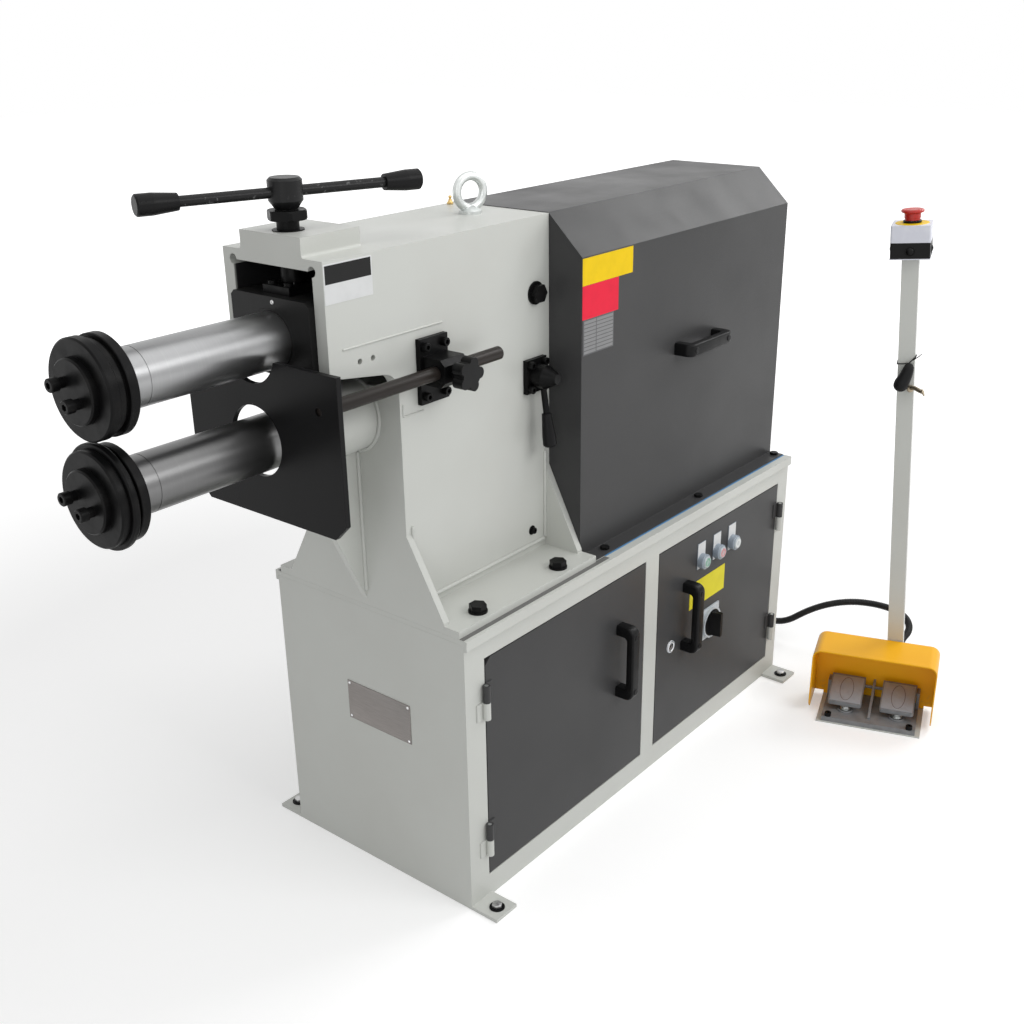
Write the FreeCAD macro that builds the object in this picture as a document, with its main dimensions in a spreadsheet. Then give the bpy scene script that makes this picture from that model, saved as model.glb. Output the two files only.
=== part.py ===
import FreeCAD, Part
import math
import os
import Sketcher

# A motorised bead bending machine on a cabinet, with a free-standing foot switch station.
# The origin lies on the floor, midway between the four floor anchors.
# +X runs from the rollers to the rear, -Y is the side with the doors, +Z is up.

# Driving dimensions in millimetres and degrees: alias, value, meaning.
DRIVING = [
    # cabinet and its doors
    ("cabinet_length", 1000, "cabinet along X"),
    ("cabinet_depth", 404, "cabinet along Y"),
    ("cabinet_height", 480, "floor to the cabinet's rim"),
    ("cabinet_sheet", 3, "cabinet wall"),
    ("partition_place", 3.5, "X of the wall between the bays"),
    ("foot_length", 50, "foot plate along X"),
    ("foot_reach", 52, "foot plate beyond the cabinet"),
    ("foot_thickness", 6, "foot plate"),
    ("anchor_radius", 9, "floor anchor hole"),
    ("anchor_inset", 25, "anchor from the cabinet's end"),
    ("anchor_outset", 32, "anchor beyond the cabinet's side"),
    ("left_stile", 47, "cabinet front left of the left door"),
    ("right_stile", 40, "cabinet front right of the right door"),
    ("middle_stile", 45, "cabinet front between the doors"),
    ("door_low", 45, "bottom edge of the doors"),
    ("door_head", 42, "cabinet front above the doors"),
    ("door_gap", 2, "gap round each door"),
    ("door_depth", 18, "depth of the door pans"),
    ("door_sheet", 2, "door sheet"),
    ("door_corner", 12, "clipped upper corner at the left door's hinge side"),
    ("hinge_radius", 6, "hinge knuckle"),
    ("hinge_pin_radius", 3, "hinge pin"),
    ("hinge_offset", 5, "hinge axis beyond the door edge"),
    ("hinge_knuckle", 29.5, "height of one knuckle"),
    ("hinge_floor", 3, "bottom of the fixed knuckle under its pin"),
    ("hinge_drop", 70, "upper hinge below the door's top, where its knuckles meet"),
    ("hinge_low", 116, "lower hinge, where its knuckles meet"),
    ("leaf_width", 18, "hinge leaf"),
    ("leaf_thickness", 2, "hinge leaf"),
    # bridge handles
    ("handle_length", 141, "bridge handle"),
    ("handle_reach", 36, "bridge handle off its face"),
    ("handle_width", 22, "bridge handle across"),
    ("handle_leg", 20, "bridge handle leg"),
    ("handle_bar", 15, "bridge handle grip thickness"),
    ("handle_bevel", 12, "bridge handle outer corners"),
    ("left_handle_inset", 75.5, "left handle from the door's free edge"),
    ("right_handle_inset", 94, "right handle from the door's free edge"),
    ("door_handle_low", 210, "lower end of the door handles"),
    ("hood_handle_place", 114, "front end of the hood's handle"),
    ("hood_handle_height", 297, "hood's handle above the cabinet top"),
    # controls on the right door
    ("button_inset", 144, "first push button from the door's free edge"),
    ("button_pitch", 56, "between push buttons"),
    ("button_drop", 63, "push buttons below the door's top"),
    ("bezel_radius", 14.5, "push button bezel"),
    ("bezel_depth", 12, "push button bezel"),
    ("bezel_barrel", 10.9, "push button barrel"),
    ("barrel_length", 22, "push button barrel behind the bezel"),
    ("cap_radius", 8.9, "push button cap's stem"),
    ("cap_head", 11.8, "push button cap"),
    ("cap_head_length", 7, "push button cap"),
    ("cap_proud", 3, "push button cap beyond its bezel"),
    ("button_travel", 4, "push button travel"),
    ("legend_width", 27, "legend plate"),
    ("legend_height", 52, "legend plate"),
    ("legend_drop", 15, "lower edge of the legend plates below the buttons"),
    ("legend_thickness", 1, "legend plate"),
    ("switch_inset", 185, "main switch from the door's free edge"),
    ("switch_height", 231, "height of the main switch"),
    ("switch_plate", 64, "main switch plate"),
    ("switch_plate_thickness", 3, "main switch plate"),
    ("switch_ring", 31, "main switch ring"),
    ("switch_ring_depth", 6, "main switch ring"),
    ("switch_barrel", 14, "main switch barrel through the door"),
    ("switch_block", 56, "main switch block behind the door"),
    ("switch_block_depth", 42, "main switch block"),
    ("knob_radius", 27, "main switch knob"),
    ("knob_base", 6, "main switch knob's disc"),
    ("knob_grip", 20, "main switch knob's grip beyond its disc"),
    ("knob_grip_width", 15, "main switch knob's grip"),
    ("knob_stem", 5, "main switch spindle"),
    ("lock_inset", 47, "key lock from the door's free edge"),
    ("lock_height", 234, "height of the key lock"),
    ("lock_collar", 12, "key lock collar"),
    ("lock_collar_depth", 2.5, "key lock collar"),
    ("lock_barrel", 9.5, "key lock barrel"),
    ("lock_core", 7, "key lock core"),
    ("lock_length", 20, "key lock behind the door face"),
    ("lock_slot", 2, "key slot"),
    ("cam_length", 22, "key lock cam"),
    ("cam_width", 12, "key lock cam"),
    ("cam_thickness", 2.5, "key lock cam"),
    # cabinet top
    ("top_thickness", 8, "cabinet top plate"),
    ("top_lip", 6, "lip outside the cabinet wall"),
    ("top_lip_drop", 9, "lip below the cabinet's rim"),
    ("cable_way_place", 380, "X of the cable hole in the top"),
    ("cable_way_radius", 20, "cable hole in the top"),
    # column
    ("column_length", 342, "column base along X"),
    ("column_rise", 112, "column above the upper shaft"),
    ("column_plate", 12, "column base, front and rear plates"),
    ("column_wall", 20, "column side plates"),
    ("column_half", 97, "half width of the column"),
    ("foot_margin", 8, "column base inside the cabinet's side"),
    ("flare_half", 165, "half width of the flared plates at their foot"),
    ("flare_edge", 4, "upright edge of the flared plates"),
    ("front_flare", 126, "height of the front plate's flare"),
    ("rear_flare", 140, "height of the rear plate's flare"),
    ("front_plate_rise", 48, "front plate above the lower shaft"),
    ("head_reach", 126, "head beyond the column's front"),
    ("head_rise", 94, "head's lower front edge above the lower shaft"),
    ("head_root", 74.5, "head's underside at the column above the lower shaft"),
    ("head_curve", 30, "curve from the column into the head"),
    ("crown_thickness", 15, "column top plate"),
    ("boss_length", 106, "boss on the head"),
    ("boss_half", 59, "half width of the boss"),
    ("boss_height", 26, "boss above the top plate"),
    ("boss_blend", 5, "fillet round the foot of the boss"),
    ("relief_radius", 7, "corner reliefs of the head"),
    ("rib_reach", 115, "front rib under the bearing tube"),
    ("rib_thickness", 12, "front rib"),
    ("tube_radius", 55, "lower bearing tube"),
    ("tube_reach", 118, "lower bearing tube beyond the column"),
    ("base_bolt_front", 69, "front base bolts from the column's front"),
    ("base_bolt_rear", 268, "rear base bolts from the column's front"),
    ("base_bolt_edge", 22.5, "base bolts from the side of the column base"),
    ("base_bolt_radius", 8, "base bolt shank"),
    ("base_washer", 15, "base bolt washer"),
    ("washer_thickness", 3, "base bolt washer"),
    ("eyebolt_place", 272, "eyebolt from the column's front"),
    ("eye_ring", 23.5, "eyebolt ring, middle of its section"),
    ("eye_wire", 6.8, "eyebolt ring section"),
    ("eye_collar", 17.5, "eyebolt collar"),
    ("eye_collar_height", 5, "eyebolt collar"),
    ("eye_rise", 32, "middle of the eyebolt's ring above its seat"),
    ("eye_turn", -17, "turn of the eyebolt about its shank"),
    ("eye_shank", 8, "eyebolt shank"),
    ("accessory_radius", 4, "accessory holes in the side plate"),
    ("accessory_first", 70.5, "front accessory hole ahead of the column's front"),
    ("accessory_pitch", 24.5, "between the accessory holes"),
    ("accessory_drop", 29, "accessory holes below the upper shaft"),
    # shafts, rollers and gears
    ("lower_axis_height", 310, "lower shaft above the cabinet top"),
    ("axis_spacing", 136, "between the shafts"),
    ("shaft_radius", 38.5, "both shafts"),
    ("spigot_radius", 30, "shaft ends in the rollers and gears"),
    ("upper_roller_place", 388, "upper roller's rear face ahead of the column"),
    ("lower_roller_place", 394, "lower roller's rear face ahead of the column"),
    ("roller_width", 41, "both rollers"),
    ("flange_radius", 63, "roller flanges"),
    ("flange_bevel", 2, "bevel on the roller flanges"),
    ("rear_flange", 13.5, "rear flange of the rollers"),
    ("upper_groove", 56, "groove of the upper roller"),
    ("upper_groove_width", 4, "groove of the upper roller"),
    ("upper_band", 58.5, "band of the upper roller"),
    ("upper_band_width", 9.5, "band of the upper roller"),
    ("lower_groove", 58, "groove of the lower roller"),
    ("lower_step", 1, "lower roller's front disc inside its flange"),
    ("lower_groove_width", 5.5, "groove of the lower roller"),
    ("lower_bead", 68.5, "bead of the lower roller"),
    ("lower_bead_width", 10, "bead of the lower roller"),
    ("bead_round", 3, "rounding of the lower roller's bead"),
    ("end_cap_radius", 41, "caps on the shaft ends"),
    ("end_cap_thickness", 10, "caps on the shaft ends"),
    ("end_cap_bevel", 2, "bevel of the shaft end caps"),
    ("end_screw_spread", 17, "cap screws from the shaft's middle"),
    ("end_screw_shank", 5, "cap screws in the shaft ends"),
    ("end_screw_head", 8.6, "cap screw heads"),
    ("end_screw_height", 11, "cap screw heads"),
    ("end_screw_sleeve", 6.6, "sleeves under the cap screws' heads"),
    ("end_screw_sleeve_length", 9, "sleeves under the cap screws' heads"),
    ("end_screw_bite", 20, "cap screws into the shaft"),
    ("upper_screw_angle", 39, "turn of the upper cap's screws"),
    ("lower_screw_angle", 24, "turn of the lower cap's screws"),
    ("seam_place", 32, "shaft collar from the roller"),
    ("seam_width", 1, "groove at the shaft collar"),
    ("seam_depth", 0.6, "groove at the shaft collar"),
    ("bush_length", 60, "bearing bushes"),
    ("tube_bush_wall", 7.4, "bushes of the lower shaft"),
    ("arm_bush_wall", 3.4, "bushes of the upper shaft"),
    ("gear_offset", 8, "gears behind the column"),
    ("gear_width", 30, "gears"),
    ("gear_teeth", 17, "teeth of each gear"),
    ("gear_backlash", 1.7, "tooth thinning for the swing of the arm"),
    # swing arm and its screw
    ("arm_gap", 0.5, "swing arm to the side plates"),
    ("arm_nose", 10, "swing arm ahead of the head"),
    ("arm_block", 136, "front block of the swing arm"),
    ("arm_drop", 48, "swing arm below the shaft"),
    ("arm_rise", 58, "front block above the shaft"),
    ("arm_back_rise", 48, "swing arm above the shaft behind its block"),
    ("arm_bar_half", 56, "half width of the swing arm between its ends"),
    ("arm_heel", 64, "rear block of the swing arm"),
    ("arm_rear_gap", 6, "swing arm to the column's rear plate"),
    ("arm_bevel", 6, "bevel of the front block's upper edges"),
    ("pivot_place", 35, "pivot ahead of the column's rear"),
    ("pivot_drop", 4, "pivot below the upper shaft"),
    ("pivot_radius", 12, "pivot pins"),
    ("pivot_bite", 26, "pivot pins into the arm"),
    ("pivot_head", 15, "pivot pin hexagon across corners, half"),
    ("pivot_head_height", 10, "pivot pin hexagon"),
    ("pivot_washer", 18, "pivot pin washer"),
    ("pivot_washer_thickness", 3, "pivot pin washer"),
    ("screw_place", 92, "adjusting screw ahead of the column's front"),
    ("screw_radius", 15, "adjusting screw"),
    ("screw_top", 53.2, "adjusting screw above the column top"),
    ("nut_body", 20, "bronze screw nut"),
    ("nut_flange", 21.5, "flange of the screw nut"),
    ("nut_flange_thickness", 1.2, "flange of the screw nut"),
    ("foot_disc", 16, "captive foot of the screw"),
    ("foot_disc_thickness", 4, "captive foot of the screw"),
    ("foot_play", 1, "captive foot above and below"),
    ("foot_neck", 9, "neck of the captive foot"),
    ("foot_pin", 6, "pin of the captive foot in the screw"),
    ("foot_pin_length", 12, "pin of the captive foot in the screw"),
    ("foot_sway", 4, "captive foot to its retainer all round"),
    ("retainer_length", 60, "foot retainer"),
    ("retainer_half", 26, "half width of the foot retainer"),
    ("retainer_lid", 5, "foot retainer above the foot"),
    ("retainer_screw_front", 21, "retainer screws ahead of the adjusting screw"),
    ("retainer_screw_out", 16, "retainer screws from the middle"),
    ("retainer_screw", 4, "retainer screw shank"),
    ("stop_nut_gap", 12.3, "stop nut above the screw nut"),
    ("stop_nut_height", 13, "stop nut"),
    ("stop_nut_radius", 28, "stop nut across corners, half"),
    ("hub_radius", 23, "hub of the T-bar"),
    ("hub_cone", 11, "cone under the hub"),
    ("hub_height", 40.5, "hub of the T-bar"),
    ("hub_crown", 3.5, "bevel round the top of the hub"),
    ("tee_length", 395, "T-bar"),
    ("tee_radius", 7, "T-bar"),
    ("tee_height", 21.8, "T-bar above the hub's underside"),
    ("tee_turn", -18.3, "T-bar as it stands"),
    ("grip_length", 65, "T-bar grips"),
    ("grip_radius", 14, "T-bar grips at their ends"),
    ("grip_neck", 11, "T-bar grips at their necks"),
    ("grip_bevel", 2, "T-bar grips at their ends"),
    # gauge, its clamp and the locking lever
    ("gauge_rear", 170, "gauge plate's rear face ahead of the column's front"),
    ("gauge_thickness", 8, "gauge plate"),
    ("gauge_near", 165, "gauge plate towards the door side"),
    ("gauge_far", 136, "gauge plate away from the door side"),
    ("gauge_low", 103, "gauge plate below the lower shaft"),
    ("gauge_high", 121, "gauge plate above the lower shaft"),
    ("gauge_corner", 22, "clipped lower corners of the gauge plate"),
    ("gauge_hole", 50, "round hole of the gauge plate"),
    ("gauge_hole_rise", 5.5, "middle of the round hole above the lower shaft"),
    ("gauge_notch", 50, "notch round the upper shaft"),
    ("rod_radius", 10, "gauge rod"),
    ("rod_out", 128, "gauge rod from the middle"),
    ("rod_rise", 70, "gauge rod above the lower shaft"),
    ("rod_length", 352, "gauge rod"),
    ("rod_spigot", 5, "gauge rod in its plate"),
    ("clamp_front", 37, "clamp plate's front edge behind the column's front"),
    ("clamp_length", 58, "clamp plate"),
    ("clamp_low", 20, "clamp plate above the lower shaft"),
    ("clamp_height", 95, "clamp plate"),
    ("clamp_thickness", 8, "clamp plate and lever flange"),
    ("jaw_length", 49, "clamp jaw"),
    ("jaw_height", 40, "clamp jaw"),
    ("jaw_depth", 41, "clamp jaw off its plate"),
    ("jaw_bevel", 8, "clamp jaw outer corners"),
    ("jaw_rear_step", 4, "clamp plate behind its jaw"),
    ("clamp_screw_x", 20, "clamp screws from the plate's middle"),
    ("clamp_screw_z", 36, "clamp screws from the plate's middle"),
    ("star_radius", 25, "star knob"),
    ("star_lobes", 5, "lobes of the star knob"),
    ("star_lobe_radius", 8.5, "lobe of the star knob"),
    ("star_core", 18, "core of the star knob"),
    ("star_thickness", 18, "star knob"),
    ("star_neck", 11, "star knob neck"),
    ("star_stand", 11, "star knob off the jaw"),
    ("star_stem", 5, "star knob stem"),
    ("lever_front", 276, "lever flange's front edge behind the column's front"),
    ("lever_flange_length", 49, "lever flange"),
    ("lever_flange_low", -23, "lever flange from the lower shaft"),
    ("lever_flange_height", 54, "lever flange"),
    ("lever_screw_x", 17, "lever flange screws from its middle"),
    ("lever_screw_z", 19.5, "lever flange screws from its middle"),
    ("lever_stub", 8, "stub that carries the lever"),
    ("lever_stub_length", 14, "stub that carries the lever"),
    ("lever_hub", 19, "lever hub"),
    ("lever_hub_depth", 20, "lever hub"),
    ("lever_cone", 21, "cone of the lever hub"),
    ("lever_tip", 8, "end of the lever hub's cone"),
    ("lever_rod", 5, "lever rod"),
    ("lever_rod_length", 60, "lever rod from the hub's axis"),
    ("lever_lean", 8, "lean of the lever rod"),
    ("lever_grip_length", 54, "lever grip"),
    ("lever_grip_neck", 7.5, "lever grip's neck"),
    ("lever_grip_end", 11, "lever grip's end"),
    ("small_screw", 4, "clamp, flange and station screws"),
    ("small_screw_bite", 14, "clamp and flange screws in the column"),
    # drive inside the hood
    ("bracket_place", 138, "drive bracket behind the column"),
    ("bracket_length", 170, "drive bracket"),
    ("bracket_half", 95, "half width of the drive bracket"),
    ("bracket_plate", 12, "drive bracket plates"),
    ("gearbox_half", 95, "gearbox housing, half"),
    ("gearbox_length", 170, "gearbox housing"),
    ("gearbox_bevel", 20, "gearbox housing edges"),
    ("gearbox_boss", 60, "gearbox boss round the shaft"),
    ("gearbox_boss_length", 12, "gearbox boss round the shaft"),
    ("gearbox_bore", 70, "depth of the shaft in the gearbox"),
    ("motor_flange", 90, "motor flange"),
    ("motor_flange_thickness", 14, "motor flange"),
    ("motor_radius", 80, "motor body"),
    ("motor_length", 190, "motor body"),
    ("fan_cover", 84, "motor fan cover"),
    ("fan_cover_length", 50, "motor fan cover"),
    ("terminal_box", 80, "terminal box on the motor"),
    ("terminal_rise", 40, "terminal box above the motor"),
    # hood
    ("hood_length", 655, "hood along X"),
    ("hood_half", 161, "half width of the hood"),
    ("hood_roof_half", 96, "half width of the hood's roof"),
    ("hood_rise", 113, "hood above the upper shaft"),
    ("hood_shoulder", 51, "hood's shoulder above the upper shaft"),
    ("hood_sheet", 2, "hood sheet"),
    ("hood_flange", 29, "flange of the hood"),
    ("hood_window_half", 86, "window in the hood's front wall"),
    ("hood_window_low", 120, "window below the lower shaft"),
    ("hood_window_high", 94, "window above the upper shaft"),
    ("hood_bolt_first", 51, "first hood bolt behind the column"),
    ("hood_bolt_pitch", 301, "between hood bolts"),
    ("hood_bolt_rear", 12, "last hood bolts from the hood's end"),
    ("hood_bolt_out", 176, "hood bolts from the middle"),
    ("hood_bolt_radius", 4, "hood bolt shank"),
    ("hood_bolt_head", 8, "hood bolt head across corners, half"),
    # control panel in the right bay
    ("panel_place", 90, "X of the control panel's left edge"),
    ("panel_width", 330, "control panel"),
    ("panel_low", 70, "control panel above the floor"),
    ("panel_height", 340, "control panel"),
    ("panel_sheet", 2, "control panel"),
    ("inverter_width", 130, "inverter"),
    ("inverter_height", 200, "inverter"),
    ("inverter_depth", 110, "inverter"),
    ("relay_width", 45, "contactors"),
    ("relay_height", 75, "contactors"),
    ("relay_depth", 70, "contactors"),
    ("device_gap", 10, "between the devices"),
    # foot switch station, in its own frame
    ("station_x", 357, "station corner"),
    ("station_y", -376, "station corner"),
    ("station_turn", -71.4, "turn of the station about Z"),
    ("plate_width", 201, "station plate"),
    ("plate_depth", 160, "station plate"),
    ("plate_thickness", 3, "station plate"),
    ("base_left", 10, "pedal base from the plate's edge"),
    ("base_width", 181, "pedal base"),
    ("base_front", 2, "pedal base from the plate's front"),
    ("base_thickness", 10, "pedal base"),
    ("lug_thickness", 6, "outer lugs of the pedal base"),
    ("rib_half", 2.5, "half thickness of the fin between the pedals"),
    ("rib_front", 18, "fin between the pedals from the plate's front"),
    ("rib_front_rise", 4, "fin's front above the base"),
    ("rib_rear_rise", 40, "fin's rear above the base"),
    ("lug_depth", 24, "outer lugs of the pedal base"),
    ("pedal_gap", 1, "pedals to the outer lugs"),
    ("pedal_inner", 17.5, "pedals from the middle of the base"),
    ("pedal_axis_depth", 103, "pedal hinge from the plate's front"),
    ("pedal_axis_height", 40, "pedal hinge above the floor"),
    ("pedal_pin", 3, "pedal hinge pin"),
    ("pedal_front", 32, "pedal's free edge from the plate's front"),
    ("pedal_front_height", 26, "underside of the pedal's free edge"),
    ("pedal_rear_height", 52, "underside of the pedal over its hinge"),
    ("pedal_thickness", 8, "pedal"),
    ("pedal_cheek", 8, "cheeks of the pedal round its pin"),
    ("pedal_corner", 6, "pedal's front corners"),
    ("guard_left", -20, "pedal guard from the plate's edge"),
    ("guard_width", 239, "pedal guard"),
    ("guard_front", 27, "pedal guard from the plate's front"),
    ("guard_depth", 90, "pedal guard"),
    ("guard_low", 9, "pedal guard's edge above the floor"),
    ("guard_high", 145, "pedal guard's top"),
    ("guard_sheet", 2.5, "pedal guard"),
    ("guard_curve", 18, "pedal guard's upper corners"),
    ("guard_tip", 15, "clipped lower front tips of the guard"),
    ("post_left", 125, "post from the plate's edge"),
    ("post_front", 120, "post from the plate's front"),
    ("post_side", 30, "post section"),
    ("post_wall", 2, "post wall"),
    ("post_length", 910, "post"),
    ("post_lean", 3.95, "lean of the post"),
    ("estop_side", 69, "stop box"),
    ("estop_base_height", 29, "lower half of the stop box"),
    ("estop_cover_height", 30, "upper half of the stop box"),
    ("estop_wall", 3, "stop box wall"),
    ("estop_edge", 3, "rounded corners of the stop box"),
    ("estop_collar", 15.5, "collar under the stop button"),
    ("estop_collar_height", 5, "collar under the stop button"),
    ("estop_stem", 13.5, "stop button stem"),
    ("estop_stem_length", 24, "stop button stem below the cover's face"),
    ("estop_neck", 14.3, "stop button neck"),
    ("estop_cap", 20, "stop button cap"),
    ("estop_cap_height", 15, "stop button cap"),
    ("estop_travel", 4, "stop button travel"),
    # conduit
    ("conduit_radius", 7.5, "conduit"),
    ("gland_radius", 13, "conduit gland"),
    ("gland_length", 14, "conduit gland"),
    ("gland_thread", 7, "conduit gland's thread"),
    ("gland_y", -40, "gland on the cabinet's end"),
    ("gland_height", 70, "gland on the cabinet's end"),
    ("post_gland_height", 82, "gland on the post above the plate"),
    ("conduit_lead", 58, "straight run out of the cabinet's gland"),
    ("conduit_tail", 66, "straight run into the post's gland"),
    # clearances
    ("run_clearance", 0.05, "pins, shafts and bushes in their holes"),
    ("seat_clearance", 0.02, "pressed and screwed pieces in their seats"),
    ("free_gap", 0.3, "pieces that pass close to each other"),
    ("cut_over", 1, "cutting tools past the faces they open"),
]

doc = FreeCAD.newDocument("BeadRoller")


class Size:
    """A number together with the expression that the document keeps for it."""

    def __init__(self, value, text):
        self.value = value
        self.text = text

    def __add__(self, other):
        other = as_size(other)
        return Size(self.value + other.value, f"({self.text} + {other.text})")

    def __sub__(self, other):
        other = as_size(other)
        return Size(self.value - other.value, f"({self.text} - {other.text})")

    def __mul__(self, other):
        other = as_size(other)
        return Size(self.value * other.value, f"({self.text} * {other.text})")

    def __truediv__(self, other):
        other = as_size(other)
        return Size(self.value / other.value, f"({self.text} / {other.text})")

    def __neg__(self):
        return Size(-self.value, f"(0 - {self.text})")

    __radd__ = __add__
    __rmul__ = __mul__

    def __rsub__(self, other):
        return as_size(other) - self

    def __rtruediv__(self, other):
        return as_size(other) / self


def as_size(number):
    """A plain number as a Size; a Size stays as it is."""
    if isinstance(number, Size):
        return number
    return Size(float(number), f"({float(number)})")


def sine(angle):
    return Size(math.sin(math.radians(angle.value)), f"sin({angle.text} * 1 deg)")


def cosine(angle):
    return Size(math.cos(math.radians(angle.value)), f"cos({angle.text} * 1 deg)")


class Sheet:
    """The spreadsheet's values, each as a Size under its alias."""

    def __init__(self, rows):
        page = doc.addObject("Spreadsheet::Sheet", "Sizes")
        for row, (alias, value, meaning) in enumerate(rows, start=1):
            page.set(f"A{row}", meaning)
            page.set(f"B{row}", str(value))
            page.setAlias(f"B{row}", alias)
        doc.recompute()
        for alias, value, meaning in rows:
            setattr(self, alias, Size(float(page.get(alias)), f"Sizes.{alias}"))


S = Sheet(DRIVING)

AXES = {
    "x": FreeCAD.Vector(1, 0, 0),
    "y": FreeCAD.Vector(0, 1, 0),
    "z": FreeCAD.Vector(0, 0, 1),
}
PLANES = {"x": "YZ_Plane", "y": "XZ_Plane", "z": "XY_Plane"}
# How a piece drawn along +Z is turned to point another way: axis and degrees.
TOWARD = {
    "+x": ("y", 90),
    "-x": ("y", -90),
    "+y": ("x", -90),
    "-y": ("x", 90),
    "+z": ("z", 0),
    "-z": ("x", 180),
}
ORIGIN = (0, 0, 0)

nodes = []


# ---------------------------------------------------------------- drawing helpers

def bind(item, prop, size):
    item.setExpression(prop, as_size(size).text)


def frame_text(at, axis="z", angle=0):
    """One step of a placement as an expression: a shift, then a turn about an axis."""
    x, y, z = (as_size(coordinate).text for coordinate in at)
    way = AXES[axis]
    turn = f"rotation(vector({way.x}; {way.y}; {way.z}); {as_size(angle).text})"
    return f"placement(vector({x}; {y}; {z}); {turn})"


def place(item, *frames):
    """Puts an item where the frames, each seen from the one before, lead."""
    item.setExpression("Placement", " * ".join(frame_text(*frame) for frame in frames))
    return item


def box(name, x_span, y_span, z_span):
    item = doc.addObject("Part::Box", name)
    for prop, span in (("Length", x_span), ("Width", y_span), ("Height", z_span)):
        bind(item, prop, as_size(span[1]) - span[0])
    return place(item, ((x_span[0], y_span[0], z_span[0]),))


def point_on(axis, along, across):
    """The point at along on an axis whose two other coordinates are across."""
    first, second = across
    return {"x": (along, first, second), "y": (first, along, second), "z": (first, second, along)}[axis]


def rod(name, axis, across, radius, low, high):
    """A cylinder along an axis from low to high."""
    item = doc.addObject("Part::Cylinder", name)
    bind(item, "Radius", radius)
    bind(item, "Height", as_size(high) - low)
    turn_axis, turn = TOWARD["+" + axis]
    return place(item, (point_on(axis, low, across), turn_axis, turn))


def hexagon(name, at, toward, corner, height):
    """A six-sided prism whose corners lie at a radius of corner."""
    item = doc.addObject("Part::Prism", name)
    item.Polygon = 6
    bind(item, "Circumradius", corner)
    bind(item, "Height", height)
    turn_axis, turn = TOWARD[toward]
    return place(item, (at, turn_axis, turn))


def union(name, pieces):
    item = doc.addObject("Part::MultiFuse", name)
    item.Shapes = pieces
    item.Refine = True
    return item


def minus(name, base, tools):
    item = doc.addObject("Part::Cut", name)
    item.Base = base
    item.Tool = tools[0] if len(tools) == 1 else union(name + "_cutters", tools)
    item.Refine = True
    return item


def group(name, pieces):
    """Separate solids of one kind, kept together."""
    item = doc.addObject("Part::Compound", name)
    item.Links = pieces
    return item


def ring(name, axis, across, inner, outer, low, high):
    body = rod(name + "_outside", axis, across, outer, low, high)
    bore = rod(name + "_bore", axis, across, inner, as_size(low) - S.cut_over, as_size(high) + S.cut_over)
    return minus(name, body, [bore])


def new_sketch(body, name, plane, offset):
    sketch = body.newObject("Sketcher::SketchObject", name)
    origin = [item for item in body.Origin.OriginFeatures if item.Role == plane][0]
    sketch.AttachmentSupport = [(origin, "")]
    sketch.MapMode = "FlatFace"
    bind(sketch, "AttachmentOffset.Base.z", offset)
    return sketch


def draw_outline(sketch, corners):
    """A closed outline whose corners follow the sheet.

    A corner may carry a third value: the radius of the arc that leads to the next corner,
    positive where the arc's centre lies to the left of the way there.
    """
    corners = [tuple(as_size(value) for value in corner) for corner in corners]
    first = sketch.GeometryCount
    count = len(corners)
    starts = []
    ends = []
    for place_in_row, corner in enumerate(corners):
        following = corners[(place_in_row + 1) % count]
        start = FreeCAD.Vector(corner[0].value, corner[1].value, 0)
        end = FreeCAD.Vector(following[0].value, following[1].value, 0)
        if len(corner) == 2:
            sketch.addGeometry(Part.LineSegment(start, end))
            starts.append(1)
            ends.append(2)
            continue
        bend = corner[2].value
        chord = end - start
        left = FreeCAD.Vector(-chord.y, chord.x, 0).normalize()
        stand = math.sqrt(bend ** 2 - (chord.Length / 2) ** 2)
        centre = (start + end) * 0.5 + left * (stand if bend > 0 else -stand)
        circle = Part.Circle(centre, AXES["z"], abs(bend))
        ordered = (start, end) if bend > 0 else (end, start)
        angles = [math.atan2((tip - centre).y, (tip - centre).x) for tip in ordered]
        sketch.addGeometry(Part.ArcOfCircle(circle, angles[0], angles[1]))
        starts.append(1 if bend > 0 else 2)
        ends.append(2 if bend > 0 else 1)
    for number in range(count):
        following = (number + 1) % count
        joint = (first + number, ends[number], first + following, starts[following])
        sketch.addConstraint(Sketcher.Constraint("Coincident", *joint))
    for number, corner in enumerate(corners):
        for kind, value in (("DistanceX", corner[0]), ("DistanceY", corner[1])):
            rule = Sketcher.Constraint(kind, first + number, starts[number], value.value)
            index = sketch.addConstraint(rule)
            sketch.setExpression(f"Constraints[{index}]", value.text)
        if len(corner) == 3:
            rule = Sketcher.Constraint("Radius", first + number, abs(corner[2].value))
            index = sketch.addConstraint(rule)
            sketch.setExpression(f"Constraints[{index}]", f"abs({corner[2].text})")


def draw_circle(sketch, centre, radius):
    u, v, size = (as_size(value) for value in (centre[0], centre[1], radius))
    number = sketch.addGeometry(Part.Circle(FreeCAD.Vector(u.value, v.value, 0), AXES["z"], size.value))
    rules = (
        (Sketcher.Constraint("DistanceX", number, 3, u.value), u),
        (Sketcher.Constraint("DistanceY", number, 3, v.value), v),
        (Sketcher.Constraint("Radius", number, size.value), size),
    )
    for rule, value in rules:
        index = sketch.addConstraint(rule)
        sketch.setExpression(f"Constraints[{index}]", value.text)


def pad(body, name, axis, low, high, outline=(), holes=()):
    """Adds a plate to a body, from low to high along an axis, with round holes."""
    offset = -as_size(high) if axis == "y" else low
    sketch = new_sketch(body, name + "_sketch", PLANES[axis], offset)
    if outline:
        draw_outline(sketch, outline)
    for centre, radius in holes:
        draw_circle(sketch, centre, radius)
    feature = body.newObject("PartDesign::Pad", name)
    feature.Profile = sketch
    bind(feature, "Length", as_size(high) - low)
    return feature


def prism(name, axis, low, high, outline=(), holes=()):
    body = doc.addObject("PartDesign::Body", name)
    pad(body, name + "_pad", axis, low, high, outline, holes)
    return body


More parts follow.
